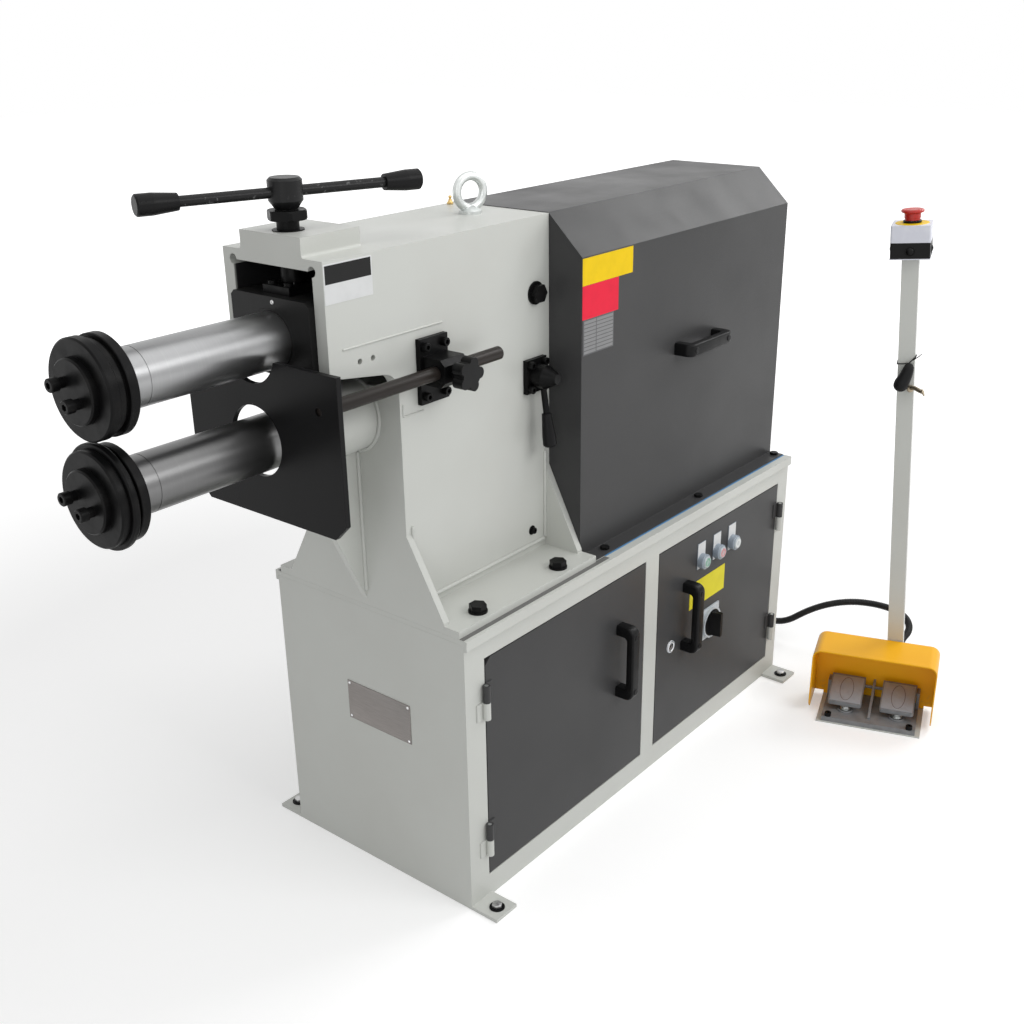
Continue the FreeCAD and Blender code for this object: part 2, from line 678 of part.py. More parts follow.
def turned(name, at, toward, profile, *frames):
    """A body of revolution: profile is a list of radius and distance along the axis."""
    body = doc.addObject("PartDesign::Body", name)
    sketch = new_sketch(body, name + "_sketch", "XZ_Plane", 0)
    draw_outline(sketch, profile)
    feature = body.newObject("PartDesign::Revolution", name + "_turn")
    feature.Profile = sketch
    feature.ReferenceAxis = (sketch, ["V_Axis"])
    feature.Angle = 360
    turn_axis, turn = TOWARD[toward]
    return place(body, *frames, (at, turn_axis, turn))


def dress(body, kind, prop, size, chosen):
    """A fillet or chamfer on the edges of a body that a test picks."""
    doc.recompute()
    base = body.Tip
    edges = base.Shape.Edges
    names = [f"Edge{number}" for number, edge in enumerate(edges, start=1) if chosen(edge)]
    feature = body.newObject(f"PartDesign::{kind}", f"{body.Name}_{kind}_{len(body.Group)}")
    feature.Base = (base, names)
    bind(feature, prop, size)
    return body


def ease(body, radius, chosen):
    return dress(body, "Fillet", "Radius", radius, chosen)


def bevel(body, size, chosen):
    return dress(body, "Chamfer", "Size", size, chosen)


def near(value, size):
    return abs(value - as_size(size).value) < 0.01


def upright(edge):
    """Whether an edge is a straight line along Z."""
    flat = edge.BoundBox.XLength < 0.01 and edge.BoundBox.YLength < 0.01
    return flat and edge.BoundBox.ZLength > 0.01


def cross_rectangle(half, low, high):
    """Corners of a rectangle that is centred across and runs from low to high."""
    return [(-half, low), (half, low), (half, high), (-half, high)]


def flared(half_low, half_high, low, edge, flare, high):
    """Corners of a plate that is wide at its foot and narrows above an upright edge."""
    return [
        (-half_low, low),
        (half_low, low),
        (half_low, low + edge),
        (half_high, low + flare),
        (half_high, high),
        (-half_high, high),
        (-half_high, low + flare),
        (-half_low, low + edge),
    ]


def cap_screw(name, at, toward, shank, bite, head=None, height=None, *frames):
    """A socket head cap screw whose head stands on the point at."""
    head = head if head is not None else shank * 1.6
    height = height if height is not None else shank * 2
    blank = turned(name + "_blank", ORIGIN, "+z", [
        (0, -bite),
        (shank, -bite),
        (shank, 0),
        (head, 0),
        (head, height - shank * 0.2),
        (head - shank * 0.2, height),
        (0, height),
    ])
    socket = hexagon(name + "_socket", (0, 0, height - shank), "+z", shank * 0.9, shank + S.cut_over)
    screw = minus(name, blank, [socket])
    turn_axis, turn = TOWARD[toward]
    return place(screw, *frames, (at, turn_axis, turn))


def hex_bolt(name, at, toward, shank, bite, corner, washer=None):
    """A hexagon bolt whose head, on its washer, stands on the point at."""
    rise = S.washer_thickness if washer is not None else as_size(0)
    head = hexagon(name + "_head", (0, 0, rise), "+z", corner, shank * 1.2)
    parts = [head, rod(name + "_shank", "z", (0, 0), shank, -bite, rise + shank)]
    if washer is not None:
        parts.append(rod(name + "_washer", "z", (0, 0), washer, 0, rise))
    bolt = union(name, parts)
    turn_axis, turn = TOWARD[toward]
    return place(bolt, (at, turn_axis, turn))


def node(name, item):
    """Names a finished sub-part; the name is also its file's."""
    item.Label = name
    nodes.append(item)
    return item


# ---------------------------------------------------------------- shared places

cabinet_end = S.cabinet_length / 2
cabinet_side = S.cabinet_depth / 2
door_face = -cabinet_side
bench = S.cabinet_height + S.top_thickness
column_front = -cabinet_end
column_rear = column_front + S.column_length
column_foot = bench + S.column_plate
side_face = -S.column_half
inner_half = S.column_half - S.column_wall
head_front = column_front - S.head_reach
lower_axis = bench + S.lower_axis_height
upper_axis = lower_axis + S.axis_spacing
column_top = upper_axis + S.column_rise
front_plate_top = lower_axis + S.front_plate_rise
head_curve_z = lower_axis + S.head_root
screw_x = column_front - S.screw_place
pivot_x = column_rear - S.pivot_place
pivot_z = upper_axis - S.pivot_drop
arm_half = inner_half - S.arm_gap
arm_front = head_front - S.arm_nose
arm_top = upper_axis + S.arm_rise
rod_z = lower_axis + S.rod_rise
hood_front = column_rear
hood_rear = hood_front + S.hood_length
gear_front = column_rear + S.gear_offset
gear_rear = gear_front + S.gear_width
gearbox_front = column_rear + S.bracket_place
gearbox_rear = gearbox_front + S.gearbox_length
plate_face = side_face - S.clamp_thickness


class Door:
    """Where one door's edges and hinge lie; way points from the hinge over the door."""

    def __init__(self, name, low, hinge_on_left):
        self.name = name
        self.low = low
        self.high = low + door_width
        self.way = 1 if hinge_on_left else -1
        self.edge = self.low if hinge_on_left else self.high
        self.free_edge = self.high if hinge_on_left else self.low
        self.hinge = self.edge - S.hinge_offset * self.way

    def span(self, start, length, way=1):
        """A span that starts at a place and runs over the door, or away from it."""
        stop = start + length * (self.way * way)
        return (start, stop) if self.way * way > 0 else (stop, start)


door_width = (S.cabinet_length - S.left_stile - S.middle_stile - S.right_stile) / 2
door_high = S.cabinet_height - S.door_head
left = Door("left_door", -cabinet_end + S.left_stile, True)
right = Door("right_door", cabinet_end - S.right_stile - door_width, False)
hinge_y = door_face - S.free_gap - S.hinge_radius
HINGE_LEVELS = {"upper": door_high - S.hinge_drop, "lower": S.hinge_low}
button_z = door_high - S.button_drop
switch_x = right.free_edge + S.switch_inset
lock_x = right.free_edge + S.lock_inset
foot_half = cabinet_side - S.foot_margin


# ---------------------------------------------------------------- cabinet and doors

def fixed_hinge(door, level_name, level):
    """A lower knuckle with its leaf on the cabinet's stile."""
    name = f"{door.name}_{level_name}_fixed"
    low = level - S.hinge_knuckle
    knuckle = rod(name + "_knuckle", "z", (door.hinge, hinge_y), S.hinge_radius, low, level)
    leaf_span = door.span(door.hinge, S.leaf_width, -1)
    leaf = box(name + "_leaf", leaf_span, (door_face - S.leaf_thickness, door_face), (low, level))
    bore_radius = S.hinge_pin_radius + S.run_clearance
    over = level + S.cut_over
    bore = rod(name + "_bore", "z", (door.hinge, hinge_y), bore_radius, low + S.hinge_floor, over)
    return minus(name, union(name + "_blank", [knuckle, leaf]), [bore])


def moving_hinge(door, level_name, level):
    """An upper knuckle with its leaf on the door."""
    name = f"{door.name}_{level_name}_moving"
    span = (level + S.free_gap, level + S.hinge_knuckle)
    knuckle = rod(name + "_knuckle", "z", (door.hinge, hinge_y), S.hinge_radius, *span)
    bridge_span = door.span(door.hinge, S.leaf_width)
    bridge = box(name + "_bridge", bridge_span, (door_face - S.leaf_thickness, door_face - S.free_gap), span)
    leaf_span = door.span(door.edge, S.leaf_width - S.hinge_offset)
    leaf = box(name + "_leaf", leaf_span, (door_face - S.leaf_thickness, door_face), span)
    bore_radius = S.hinge_pin_radius + S.run_clearance
    over = (span[0] - S.cut_over, span[1] + S.cut_over)
    bore = rod(name + "_bore", "z", (door.hinge, hinge_y), bore_radius, *over)
    return minus(name, union(name + "_blank", [knuckle, bridge, leaf]), [bore])


def make_cabinet():
    wall = S.cabinet_sheet
    inside = (-cabinet_side + wall, cabinet_side - wall)
    rim = S.cabinet_height
    shell = box("cabinet_shell", (-cabinet_end, cabinet_end), (-cabinet_side, cabinet_side), (0, rim))
    middle = S.partition_place
    cutters = [
        box("left_bay", (-cabinet_end + wall, middle - wall / 2), inside, (wall, rim + S.cut_over)),
        box("right_bay", (middle + wall / 2, cabinet_end - wall), inside, (wall, rim + S.cut_over)),
    ]
    front = (-cabinet_side - S.cut_over, -cabinet_side + wall + S.cut_over)
    for door in (left, right):
        across = (door.low - S.door_gap, door.high + S.door_gap)
        upright_span = (S.door_low - S.door_gap, door_high + S.door_gap)
        cutters.append(box(door.name + "_way", across, front, upright_span))
    thread = S.gland_thread + S.run_clearance
    end = (cabinet_end - wall - S.cut_over, cabinet_end + S.cut_over)
    cutters.append(rod("gland_way", "x", (S.gland_y, S.gland_height), thread, *end))
    pieces = [minus("cabinet_walls", shell, cutters)]
    for x_way in (-1, 1):
        for y_way in (-1, 1):
            pieces.append(foot_plate(x_way, y_way))
    for door in (left, right):
        for level_name, level in HINGE_LEVELS.items():
            pieces.append(fixed_hinge(door, level_name, level))
    node("cabinet", union("cabinet_body", pieces))


def foot_plate(x_way, y_way):
    name = f"foot_{'front' if x_way < 0 else 'rear'}_{'near' if y_way < 0 else 'far'}"
    x_span = sorted_span(cabinet_end * x_way, (cabinet_end - S.foot_length) * x_way)
    y_span = sorted_span(cabinet_side * y_way, (cabinet_side + S.foot_reach) * y_way)
    plate = box(name + "_plate", x_span, y_span, (0, S.foot_thickness))
    middle = ((cabinet_end - S.anchor_inset) * x_way, (cabinet_side + S.anchor_outset) * y_way)
    over = (-S.cut_over, S.foot_thickness + S.cut_over)
    return minus(name, plate, [rod(name + "_hole", "z", middle, S.anchor_radius, *over)])


def sorted_span(one, other):
    return (one, other) if one.value < other.value else (other, one)


def make_hinge_pins():
    pins = []
    for door in (left, right):
        for level_name, level in HINGE_LEVELS.items():
            low = level - S.hinge_knuckle + S.hinge_floor
            high = level + S.hinge_knuckle
            across = (door.hinge, hinge_y)
            pins.append(rod(f"{door.name}_{level_name}_pin", "z", across, S.hinge_pin_radius, low, high))
    node("hinge_pins", group("hinge_pin_set", pins))


def door_outline(door, inset):
    """The door's outline, clipped at the left door's upper hinge corner."""
    low = door.low + inset
    high = door.high - inset
    bottom = S.door_low + inset
    top = door_high - inset
    if door is right:
        return [(low, bottom), (high, bottom), (high, top), (low, top)]
    clip = S.door_corner
    return [(low, bottom), (high, bottom), (high, top), (low + clip, top), (low, top - clip)]


def make_door(door, openings):
    depth = (door_face, door_face + S.door_depth)
    blank = prism(door.name + "_blank", "y", *depth, door_outline(door, as_size(0)))
    hollow_depth = (door_face + S.door_sheet, door_face + S.door_depth + S.cut_over)
    hollow = prism(door.name + "_hollow", "y", *hollow_depth, door_outline(door, S.door_sheet))
    cutters = [hollow]
    over = (door_face - S.cut_over, door_face + S.door_sheet + S.cut_over)
    for number, (across, radius) in enumerate(openings, start=1):
        cutters.append(rod(f"{door.name}_opening_{number}", "y", across, radius, *over))
    pan = minus(door.name + "_pan", blank, cutters)
    pieces = [pan]
    for level_name, level in HINGE_LEVELS.items():
        pieces.append(moving_hinge(door, level_name, level))
    node(door.name, union(door.name + "_body", pieces))


def handle_outline(face, low, high, upright_handle):
    """A bridge handle's outline: two legs on a face at y, joined by a bar."""
    outer = face - S.handle_reach
    inner = outer + S.handle_bar
    clip = S.handle_bevel
    walk = [
        (face, low),
        (outer + clip, low),
        (outer, low + clip),
        (outer, high - clip),
        (outer + clip, high),
        (face, high),
        (face, high - S.handle_leg),
        (inner, high - S.handle_leg),
        (inner, low + S.handle_leg),
        (face, low + S.handle_leg),
    ]
    return walk if upright_handle else [(along, out) for out, along in walk]


def make_handle(name, face, middle, low, upright_handle):
    axis = "x" if upright_handle else "z"
    half = S.handle_width / 2
    outline = handle_outline(face, low, low + S.handle_length, upright_handle)
    node(name, prism(name + "_body", axis, middle - half, middle + half, outline))


def button_places():
    return [right.free_edge + S.button_inset + S.button_pitch * number for number in range(3)]


def make_controls():
    """Bezels, legend plates, switch plate and block, and the lock's collar on the right door."""
    pieces = []
    legend_face = door_face - S.legend_thickness
    slide_bore = S.cap_radius + S.run_clearance
    recess = S.cap_head_length - S.cap_proud + S.button_travel + S.free_gap
    edge = S.bezel_depth / 10
    for number, x in enumerate(button_places(), start=1):
        across = (x, button_z)
        half = S.legend_width / 2
        legend_low = button_z - S.legend_drop
        legend_top = legend_low + S.legend_height
        outline = [(x - half, legend_low), (x + half, legend_low), (x + half, legend_top),
                   (x - half, legend_top)]
        hole = [(across, S.bezel_barrel + S.run_clearance)]
        pieces.append(prism(f"legend_{number}", "y", legend_face, door_face, outline, hole))
        pieces.append(turned(f"bezel_{number}", (x, legend_face, button_z), "-y", [
            (slide_bore, -S.barrel_length),
            (S.bezel_barrel, -S.barrel_length),
            (S.bezel_barrel, 0),
            (S.bezel_radius, 0),
            (S.bezel_radius, S.bezel_depth - edge),
            (S.bezel_radius - edge, S.bezel_depth),
            (S.cap_head + S.free_gap, S.bezel_depth),
            (S.cap_head + S.free_gap, S.bezel_depth - recess),
            (slide_bore, S.bezel_depth - recess),
        ]))
    pieces.append(switch_block())
    pieces.append(turned("lock_housing", (lock_x, door_face, S.lock_height), "-y", [
        (S.lock_core + S.run_clearance, -S.lock_length),
        (S.lock_barrel, -S.lock_length),
        (S.lock_barrel, 0),
        (S.lock_collar, 0),
        (S.lock_collar, S.lock_collar_depth),
        (S.lock_core + S.run_clearance, S.lock_collar_depth),
    ]))
    node("control_bezels", group("control_bezel_set", pieces))


def switch_block():
    """The main switch's plate, ring, barrel and the block behind the door."""
    half = S.switch_plate / 2
    x_span = (switch_x - half, switch_x + half)
    z_span = (S.switch_height - half, S.switch_height + half)
    plate_front = door_face - S.switch_plate_thickness
    across = (switch_x, S.switch_height)
    back = door_face + S.door_sheet
    block_half = S.switch_block / 2
    block_x = (switch_x - block_half, switch_x + block_half)
    block_z = (S.switch_height - block_half, S.switch_height + block_half)
    solid = union("switch_solid", [
        box("switch_face", x_span, (plate_front, door_face), z_span),
        rod("switch_ring", "y", across, S.switch_ring, plate_front - S.switch_ring_depth, plate_front),
        rod("switch_neck", "y", across, S.switch_barrel, door_face, back),
        box("switch_back", block_x, (back, back + S.switch_block_depth), block_z),
    ])
    knob_seat = plate_front - S.switch_ring_depth + S.knob_base
    recess = rod("switch_recess", "y", across, S.knob_radius + S.free_gap, plate_front - S.switch_ring_depth
                 - S.cut_over, knob_seat)
    spindle = rod("switch_bore", "y", across, S.knob_stem + S.run_clearance,
                  plate_front - S.switch_ring_depth,
                  back + S.switch_block_depth / 2)
    return minus("switch_body", solid, [recess, spindle])


def make_switch_knob():
    plate_front = door_face - S.switch_plate_thickness
    seat = plate_front - S.switch_ring_depth + S.knob_base
    across = (switch_x, S.switch_height)
    disc_front = seat - S.knob_base
    grip_half = S.knob_grip_width / 2
    reach = S.knob_radius * 0.9
    knob = union("switch_knob_body", [
        rod("knob_disc", "y", across, S.knob_radius, disc_front, seat),
        prism("knob_grip_bar", "z", S.switch_height - reach, S.switch_height + reach, [
            (switch_x - grip_half, disc_front),
            (switch_x + grip_half, disc_front),
            (switch_x + grip_half / 2, disc_front - S.knob_grip),
            (switch_x - grip_half / 2, disc_front - S.knob_grip),
        ]),
        rod("knob_spindle", "y", across, S.knob_stem, seat,
            door_face + S.door_sheet + S.switch_block_depth / 3),
    ])
    node("switch_knob", knob)


def make_key_lock():
    """The lock's core with its key slot and the cam on its inner end."""
    across = (lock_x, S.lock_height)
    front = door_face - S.lock_collar_depth
    back = door_face + S.lock_length
    core = rod("lock_core_rod", "y", across, S.lock_core, front, back + S.cam_thickness)
    half = S.cam_width / 2
    cam_back = back + S.cam_thickness
    cam = box("lock_cam", (lock_x - half, lock_x + half), (back, cam_back),
              (S.lock_height - S.cam_length, S.lock_height + half))
    slot_half = S.lock_slot / 2
    slot_reach = S.lock_core * 0.7
    slot = box("key_slot", (lock_x - slot_half, lock_x + slot_half),
               (front - S.cut_over, front + S.lock_core),
               (S.lock_height - slot_reach, S.lock_height + slot_reach))
    node("key_lock", minus("key_lock_body", union("key_lock_blank", [core, cam]), [slot]))


def make_buttons():
    front = door_face - S.legend_thickness - S.bezel_depth
    for name, x in zip(("start_button", "stop_button", "jog_button"), button_places()):
        length = S.cap_proud + S.bezel_depth + S.barrel_length / 2
        edge = S.cap_head * 0.15
        node(name, turned(name + "_body", (x, front - S.cap_proud, button_z), "+y", [
            (0, 0),
            (S.cap_head - edge, 0),
            (S.cap_head, edge),
            (S.cap_head, S.cap_head_length),
            (S.cap_radius, S.cap_head_length),
            (S.cap_radius, length),
            (0, length),
        ]))


def make_cabinet_top():
    lip_side = cabinet_side + S.top_lip
    drop = S.cabinet_height - S.top_lip_drop
    plate = box("top_plate", (-cabinet_end, cabinet_end), (-lip_side, lip_side), (S.cabinet_height, bench))
    near_lip = box("near_lip", (-cabinet_end, cabinet_end), (-lip_side, -cabinet_side), (drop, bench))
    far_lip = box("far_lip", (-cabinet_end, cabinet_end), (cabinet_side, lip_side), (drop, bench))
    over = (S.cabinet_height - S.cut_over, bench + S.cut_over)
    cutters = [rod("cable_way", "z", (S.cable_way_place, 0), S.cable_way_radius, *over)]
    for number, (x, y) in enumerate(base_bolt_places(), start=1):
        hole = S.base_bolt_radius + S.free_gap
        cutters.append(rod(f"top_bolt_hole_{number}", "z", (x, y), hole, *over))
    for number, (x, y) in enumerate(hood_bolt_places(), start=1):
        hole = S.hood_bolt_radius + S.run_clearance
        cutters.append(rod(f"top_hood_hole_{number}", "z", (x, y), hole, *over))
    node("cabinet_top", minus("cabinet_top_body", union("top_blank", [plate, near_lip, far_lip]), cutters))


def base_bolt_places():
    places = []
    for from_front in (S.base_bolt_front, S.base_bolt_rear):
        for way in (-1, 1):
            places.append((column_front + from_front, (foot_half - S.base_bolt_edge) * way))
    return places


def hood_bolt_places():
    first = hood_front + S.hood_bolt_first
    rows = (first, first + S.hood_bolt_pitch, hood_rear - S.hood_bolt_rear)
    return [(x, S.hood_bolt_out * way) for x in rows for way in (-1, 1)]


# ---------------------------------------------------------------- column

def side_plate_outline():
    """One side plate with the head that reaches over the lower shaft."""
    front = column_front + S.column_plate
    rear = column_rear - S.column_plate
    return [
        (front, column_foot),
        (rear, column_foot),
        (rear, column_top),
        (head_front, column_top),
        (head_front, lower_axis + S.head_rise),
        (column_front, head_curve_z),
        (column_front, front_plate_top),
        (front, front_plate_top),
    ]


def clamp_screw_places():
    """The four screws of the rod clamp and the four of the lever flange."""
    clamp_x = column_front + S.clamp_front + S.clamp_length / 2
    clamp_z = lower_axis + S.clamp_low + S.clamp_height / 2
    lever_x = column_front + S.lever_front + S.lever_flange_length / 2
    lever_z = lower_axis + S.lever_flange_low + S.lever_flange_height / 2
    places = []
    for x_way in (-1, 1):
        for z_way in (-1, 1):
            places.append(("clamp", clamp_x + S.clamp_screw_x * x_way, clamp_z + S.clamp_screw_z * z_way))
            places.append(("lever", lever_x + S.lever_screw_x * x_way, lever_z + S.lever_screw_z * z_way))
    return places


def make_column():
    body = doc.addObject("PartDesign::Body", "column_weldment")
    foot = [(column_front, -foot_half), (column_rear, -foot_half), (column_rear, foot_half),
            (column_front, foot_half)]
    holes = [(place_on, S.base_bolt_radius + S.free_gap) for place_on in base_bolt_places()]
    pad(body, "column_base", "z", bench, column_foot, foot, holes)
    front_outline = flared(S.flare_half, S.column_half, column_foot, S.flare_edge, S.front_flare,
                           front_plate_top)
    pad(body, "column_front_plate", "x", column_front, column_front + S.column_plate, front_outline)
    rear_outline = flared(S.flare_half, S.column_half, column_foot, S.flare_edge, S.rear_flare, column_top)
    pad(body, "column_rear_plate", "x", column_rear - S.column_plate, column_rear, rear_outline)
    pad(body, "near_side_plate", "y", -S.column_half, -inner_half, side_plate_outline())
    pad(body, "far_side_plate", "y", inner_half, S.column_half, side_plate_outline())
    ease(body, S.head_curve, lambda edge: near(edge.BoundBox.XMin, column_front)
         and near(edge.BoundBox.XMax, column_front) and near(edge.BoundBox.ZMin, head_curve_z)
         and near(edge.BoundBox.ZMax, head_curve_z))
    crown = cross_rectangle(inner_half, column_top - S.crown_thickness, column_top)
    pad(body, "crown_plate", "x", head_front, column_rear - S.column_plate, crown)
    boss = cross_rectangle(S.boss_half, column_top - S.crown_thickness / 2, column_top + S.boss_height)
    pad(body, "screw_boss", "x", head_front, head_front + S.boss_length, boss)
    ease(body, S.boss_blend, lambda edge: near(edge.BoundBox.ZMin, column_top)
         and near(edge.BoundBox.ZMax, column_top) and abs(abs(edge.CenterOfMass.y) - S.boss_half.value) < 0.01)
    tube_front = column_front - S.tube_reach
    pad(body, "bearing_tube", "x", tube_front, column_rear, (), [((0, lower_axis), S.tube_radius)])
    rib_front = column_front - S.rib_reach
    rib = [(column_front, column_foot), (column_front, lower_axis), (rib_front, lower_axis),
           (rib_front, lower_axis - S.tube_radius)]
    pad(body, "front_rib", "y", -S.rib_thickness / 2, S.rib_thickness / 2, rib)
    node("column_frame", minus("column_frame_body", body, column_cutters(tube_front)))


def column_cutters(tube_front):
    tube_bore = S.shaft_radius + S.run_clearance + S.tube_bush_wall + S.seat_clearance
    behind = column_rear + S.cut_over
    rear_inner = column_rear - S.column_plate - S.cut_over
    upper_window = S.spigot_radius + S.column_plate + S.run_clearance + S.relief_radius / 2
    over_plate = (-S.column_half - S.cut_over, S.column_half + S.cut_over)
    corner = (inner_half, column_top - S.crown_thickness)
    relief_span = (head_front - S.cut_over, column_rear - S.column_plate - S.cut_over)
    nut_bore = S.nut_body + S.seat_clearance
    nut_span = (column_top - S.crown_thickness - S.cut_over, column_top + S.boss_height + S.cut_over)
    eye_span = (column_top - S.crown_thickness - S.cut_over, column_top + S.cut_over)
    cutters = [
        rod("tube_bore", "x", (0, lower_axis), tube_bore, tube_front - S.cut_over, behind),
        rod("upper_shaft_way", "x", (0, upper_axis), upper_window, rear_inner, behind),
        rod("near_relief", "x", (-corner[0], corner[1]), S.relief_radius, *relief_span),
        rod("far_relief", "x", corner, S.relief_radius, *relief_span),
        rod("pivot_way", "y", (pivot_x, pivot_z), S.pivot_radius + S.run_clearance, *over_plate),
        rod("nut_way", "z", (screw_x, 0), nut_bore, *nut_span),
        rod("eyebolt_way", "z", (column_front + S.eyebolt_place, 0), S.eye_shank + S.seat_clearance,
            *eye_span),
    ]
    outer = side_face - S.cut_over
    for number in range(2):
        x = column_front - S.accessory_first + S.accessory_pitch * number
        across = (x, upper_axis - S.accessory_drop)
        cutters.append(rod(f"accessory_hole_{number + 1}", "y", across, S.accessory_radius, outer,
                           -inner_half + S.cut_over))
    for number, (kind, x, z) in enumerate(clamp_screw_places(), start=1):
        hole = S.small_screw + S.seat_clearance
        depth = side_face + S.small_screw_bite + S.cut_over
        cutters.append(rod(f"{kind}_tapped_hole_{number}", "y", (x, z), hole, outer, depth))
    return cutters


def make_tube_bushes():
    inner = S.shaft_radius + S.run_clearance
    outer = inner + S.tube_bush_wall
    tube_front = column_front - S.tube_reach
    spans = {
        "front": (tube_front, tube_front + S.bush_length),
        "rear": (column_rear - S.bush_length, column_rear),
    }
    rings = []
    for where, span in spans.items():
        rings.append(ring(f"tube_bush_{where}", "x", (0, lower_axis), inner, outer, *span))
    node("shaft_bushes", group("shaft_bush_set", rings))


def make_base_bolts():
    pieces = []
    bite = S.column_plate + S.top_thickness + S.base_bolt_radius * 2
    corner = S.base_bolt_radius * 1.73
    for number, (x, y) in enumerate(base_bolt_places(), start=1):
        name = f"base_bolt_{number}"
        pieces.append(hex_bolt(name, (x, y, column_foot), "+z", S.base_bolt_radius, bite, corner,
                               S.base_washer))
        nut_height = S.base_bolt_radius * 1.6
        blank = hexagon(f"base_nut_{number}_blank", (x, y, S.cabinet_height - nut_height), "+z", corner,
                        nut_height)
        span = (S.cabinet_height - nut_height - S.cut_over, S.cabinet_height + S.cut_over)
        bore = rod(f"base_nut_{number}_bore", "z", (x, y), S.base_bolt_radius + S.seat_clearance, *span)
        pieces.append(minus(f"base_nut_{number}", blank, [bore]))
    node("base_bolts", group("base_bolt_set", pieces))


def make_eyebolt():
    at = (column_front + S.eyebolt_place, 0, column_top)
    stem = turned("eye_stem", ORIGIN, "+z", [
        (0, -S.crown_thickness),
        (S.eye_shank, -S.crown_thickness),
        (S.eye_shank, 0),
        (S.eye_collar, 0),
        (S.eye_collar, S.eye_collar_height),
        (S.eye_wire, S.eye_rise - S.eye_ring + S.eye_wire / 2),
        (0, S.eye_rise - S.eye_ring + S.eye_wire / 2),
    ])
    eye = doc.addObject("Part::Torus", "eye_ring")
    bind(eye, "Radius1", S.eye_ring)
    bind(eye, "Radius2", S.eye_wire)
    place(eye, ((0, 0, S.eye_rise), "x", 90))
    node("eyebolt", place(union("eyebolt_body", [stem, eye]), (at, "z", S.eye_turn)))


# ---------------------------------------------------------------- swing arm and screw

def arm_rear():
    return column_rear - S.column_plate - S.arm_rear_gap


def make_swing_arm():
    low = upper_axis - S.arm_drop
    back_top = upper_axis + S.arm_back_rise
    block_rear = arm_front + S.arm_block
    heel_front = arm_rear() - S.arm_heel
    block = prism("arm_block_body", "x", arm_front, block_rear, cross_rectangle(arm_half, low, arm_top))
    bevel(block, S.arm_bevel, lambda edge: near(edge.BoundBox.ZMin, arm_top)
          and near(edge.BoundBox.ZMax, arm_top)
          and edge.BoundBox.YLength < 0.01)
    bar = prism("arm_bar", "x", block_rear, heel_front, cross_rectangle(S.arm_bar_half, low, back_top))
    heel = prism("arm_heel_block", "x", heel_front, arm_rear(), cross_rectangle(arm_half, low, back_top))
    bush_seat = S.shaft_radius + S.run_clearance + S.arm_bush_wall + S.seat_clearance
    socket = S.pivot_radius + S.run_clearance
    socket_floor = arm_half + S.arm_gap - S.pivot_bite - S.free_gap
    over = arm_half + S.cut_over
    cutters = [
        rod("arm_bore", "x", (0, upper_axis), bush_seat, arm_front - S.cut_over, arm_rear() + S.cut_over),
        rod("near_pivot_socket", "y", (pivot_x, pivot_z), socket, -over, -socket_floor),
        rod("far_pivot_socket", "y", (pivot_x, pivot_z), socket, socket_floor, over),
    ]
    for number, (x, y) in enumerate(retainer_screw_places(), start=1):
        hole = S.retainer_screw + S.seat_clearance
        span = (arm_top - retainer_screw_bite() - S.cut_over, arm_top + S.cut_over)
        cutters.append(rod(f"retainer_hole_{number}", "z", (x, y), hole, *span))
    node("swing_arm", minus("swing_arm_body", union("arm_blank", [block, bar, heel]), cutters))


def retainer_screw_places():
    return [(screw_x - S.retainer_screw_front, S.retainer_screw_out * way) for way in (-1, 1)]


def retainer_screw_bite():
    """Depth of the retainer screws in the arm, short of the shaft's bore."""
    return S.retainer_screw * 2


def make_arm_bushes():
    inner = S.shaft_radius + S.run_clearance
    outer = inner + S.arm_bush_wall
    spans = {
        "front": (arm_front, arm_front + S.bush_length),
        "rear": (arm_rear() - S.bush_length, arm_rear()),
    }
    rings = []
    for where, span in spans.items():
        rings.append(ring(f"arm_bush_{where}", "x", (0, upper_axis), inner, outer, *span))
    node("arm_bushes", group("arm_bush_set", rings))


def make_pivot_pins():
    pins = []
    for name, way in (("near", -1), ("far", 1)):
        at = (pivot_x, S.column_half * way, pivot_z)
        toward = "-y" if way < 0 else "+y"
        washer_top = S.pivot_washer_thickness
        head = hexagon(f"{name}_pivot_head", (0, 0, washer_top), "+z", S.pivot_head, S.pivot_head_height)
        washer = rod(f"{name}_pivot_washer", "z", (0, 0), S.pivot_washer, 0, washer_top)
        depth = -(S.column_wall + S.pivot_bite)
        shank = rod(f"{name}_pivot_shank", "z", (0, 0), S.pivot_radius, depth, washer_top)
        turn_axis, turn = TOWARD[toward]
        pins.append(place(union(f"{name}_pivot_pin", [head, washer, shank]), (at, turn_axis, turn)))
    node("pivot_pins", group("pivot_pin_set", pins))


foot_low = arm_top + S.foot_play
foot_high = foot_low + S.foot_disc_thickness
cavity_top = foot_high + S.foot_play
retainer_top = cavity_top + S.retainer_lid
screw_low = retainer_top + S.retainer_lid / 2


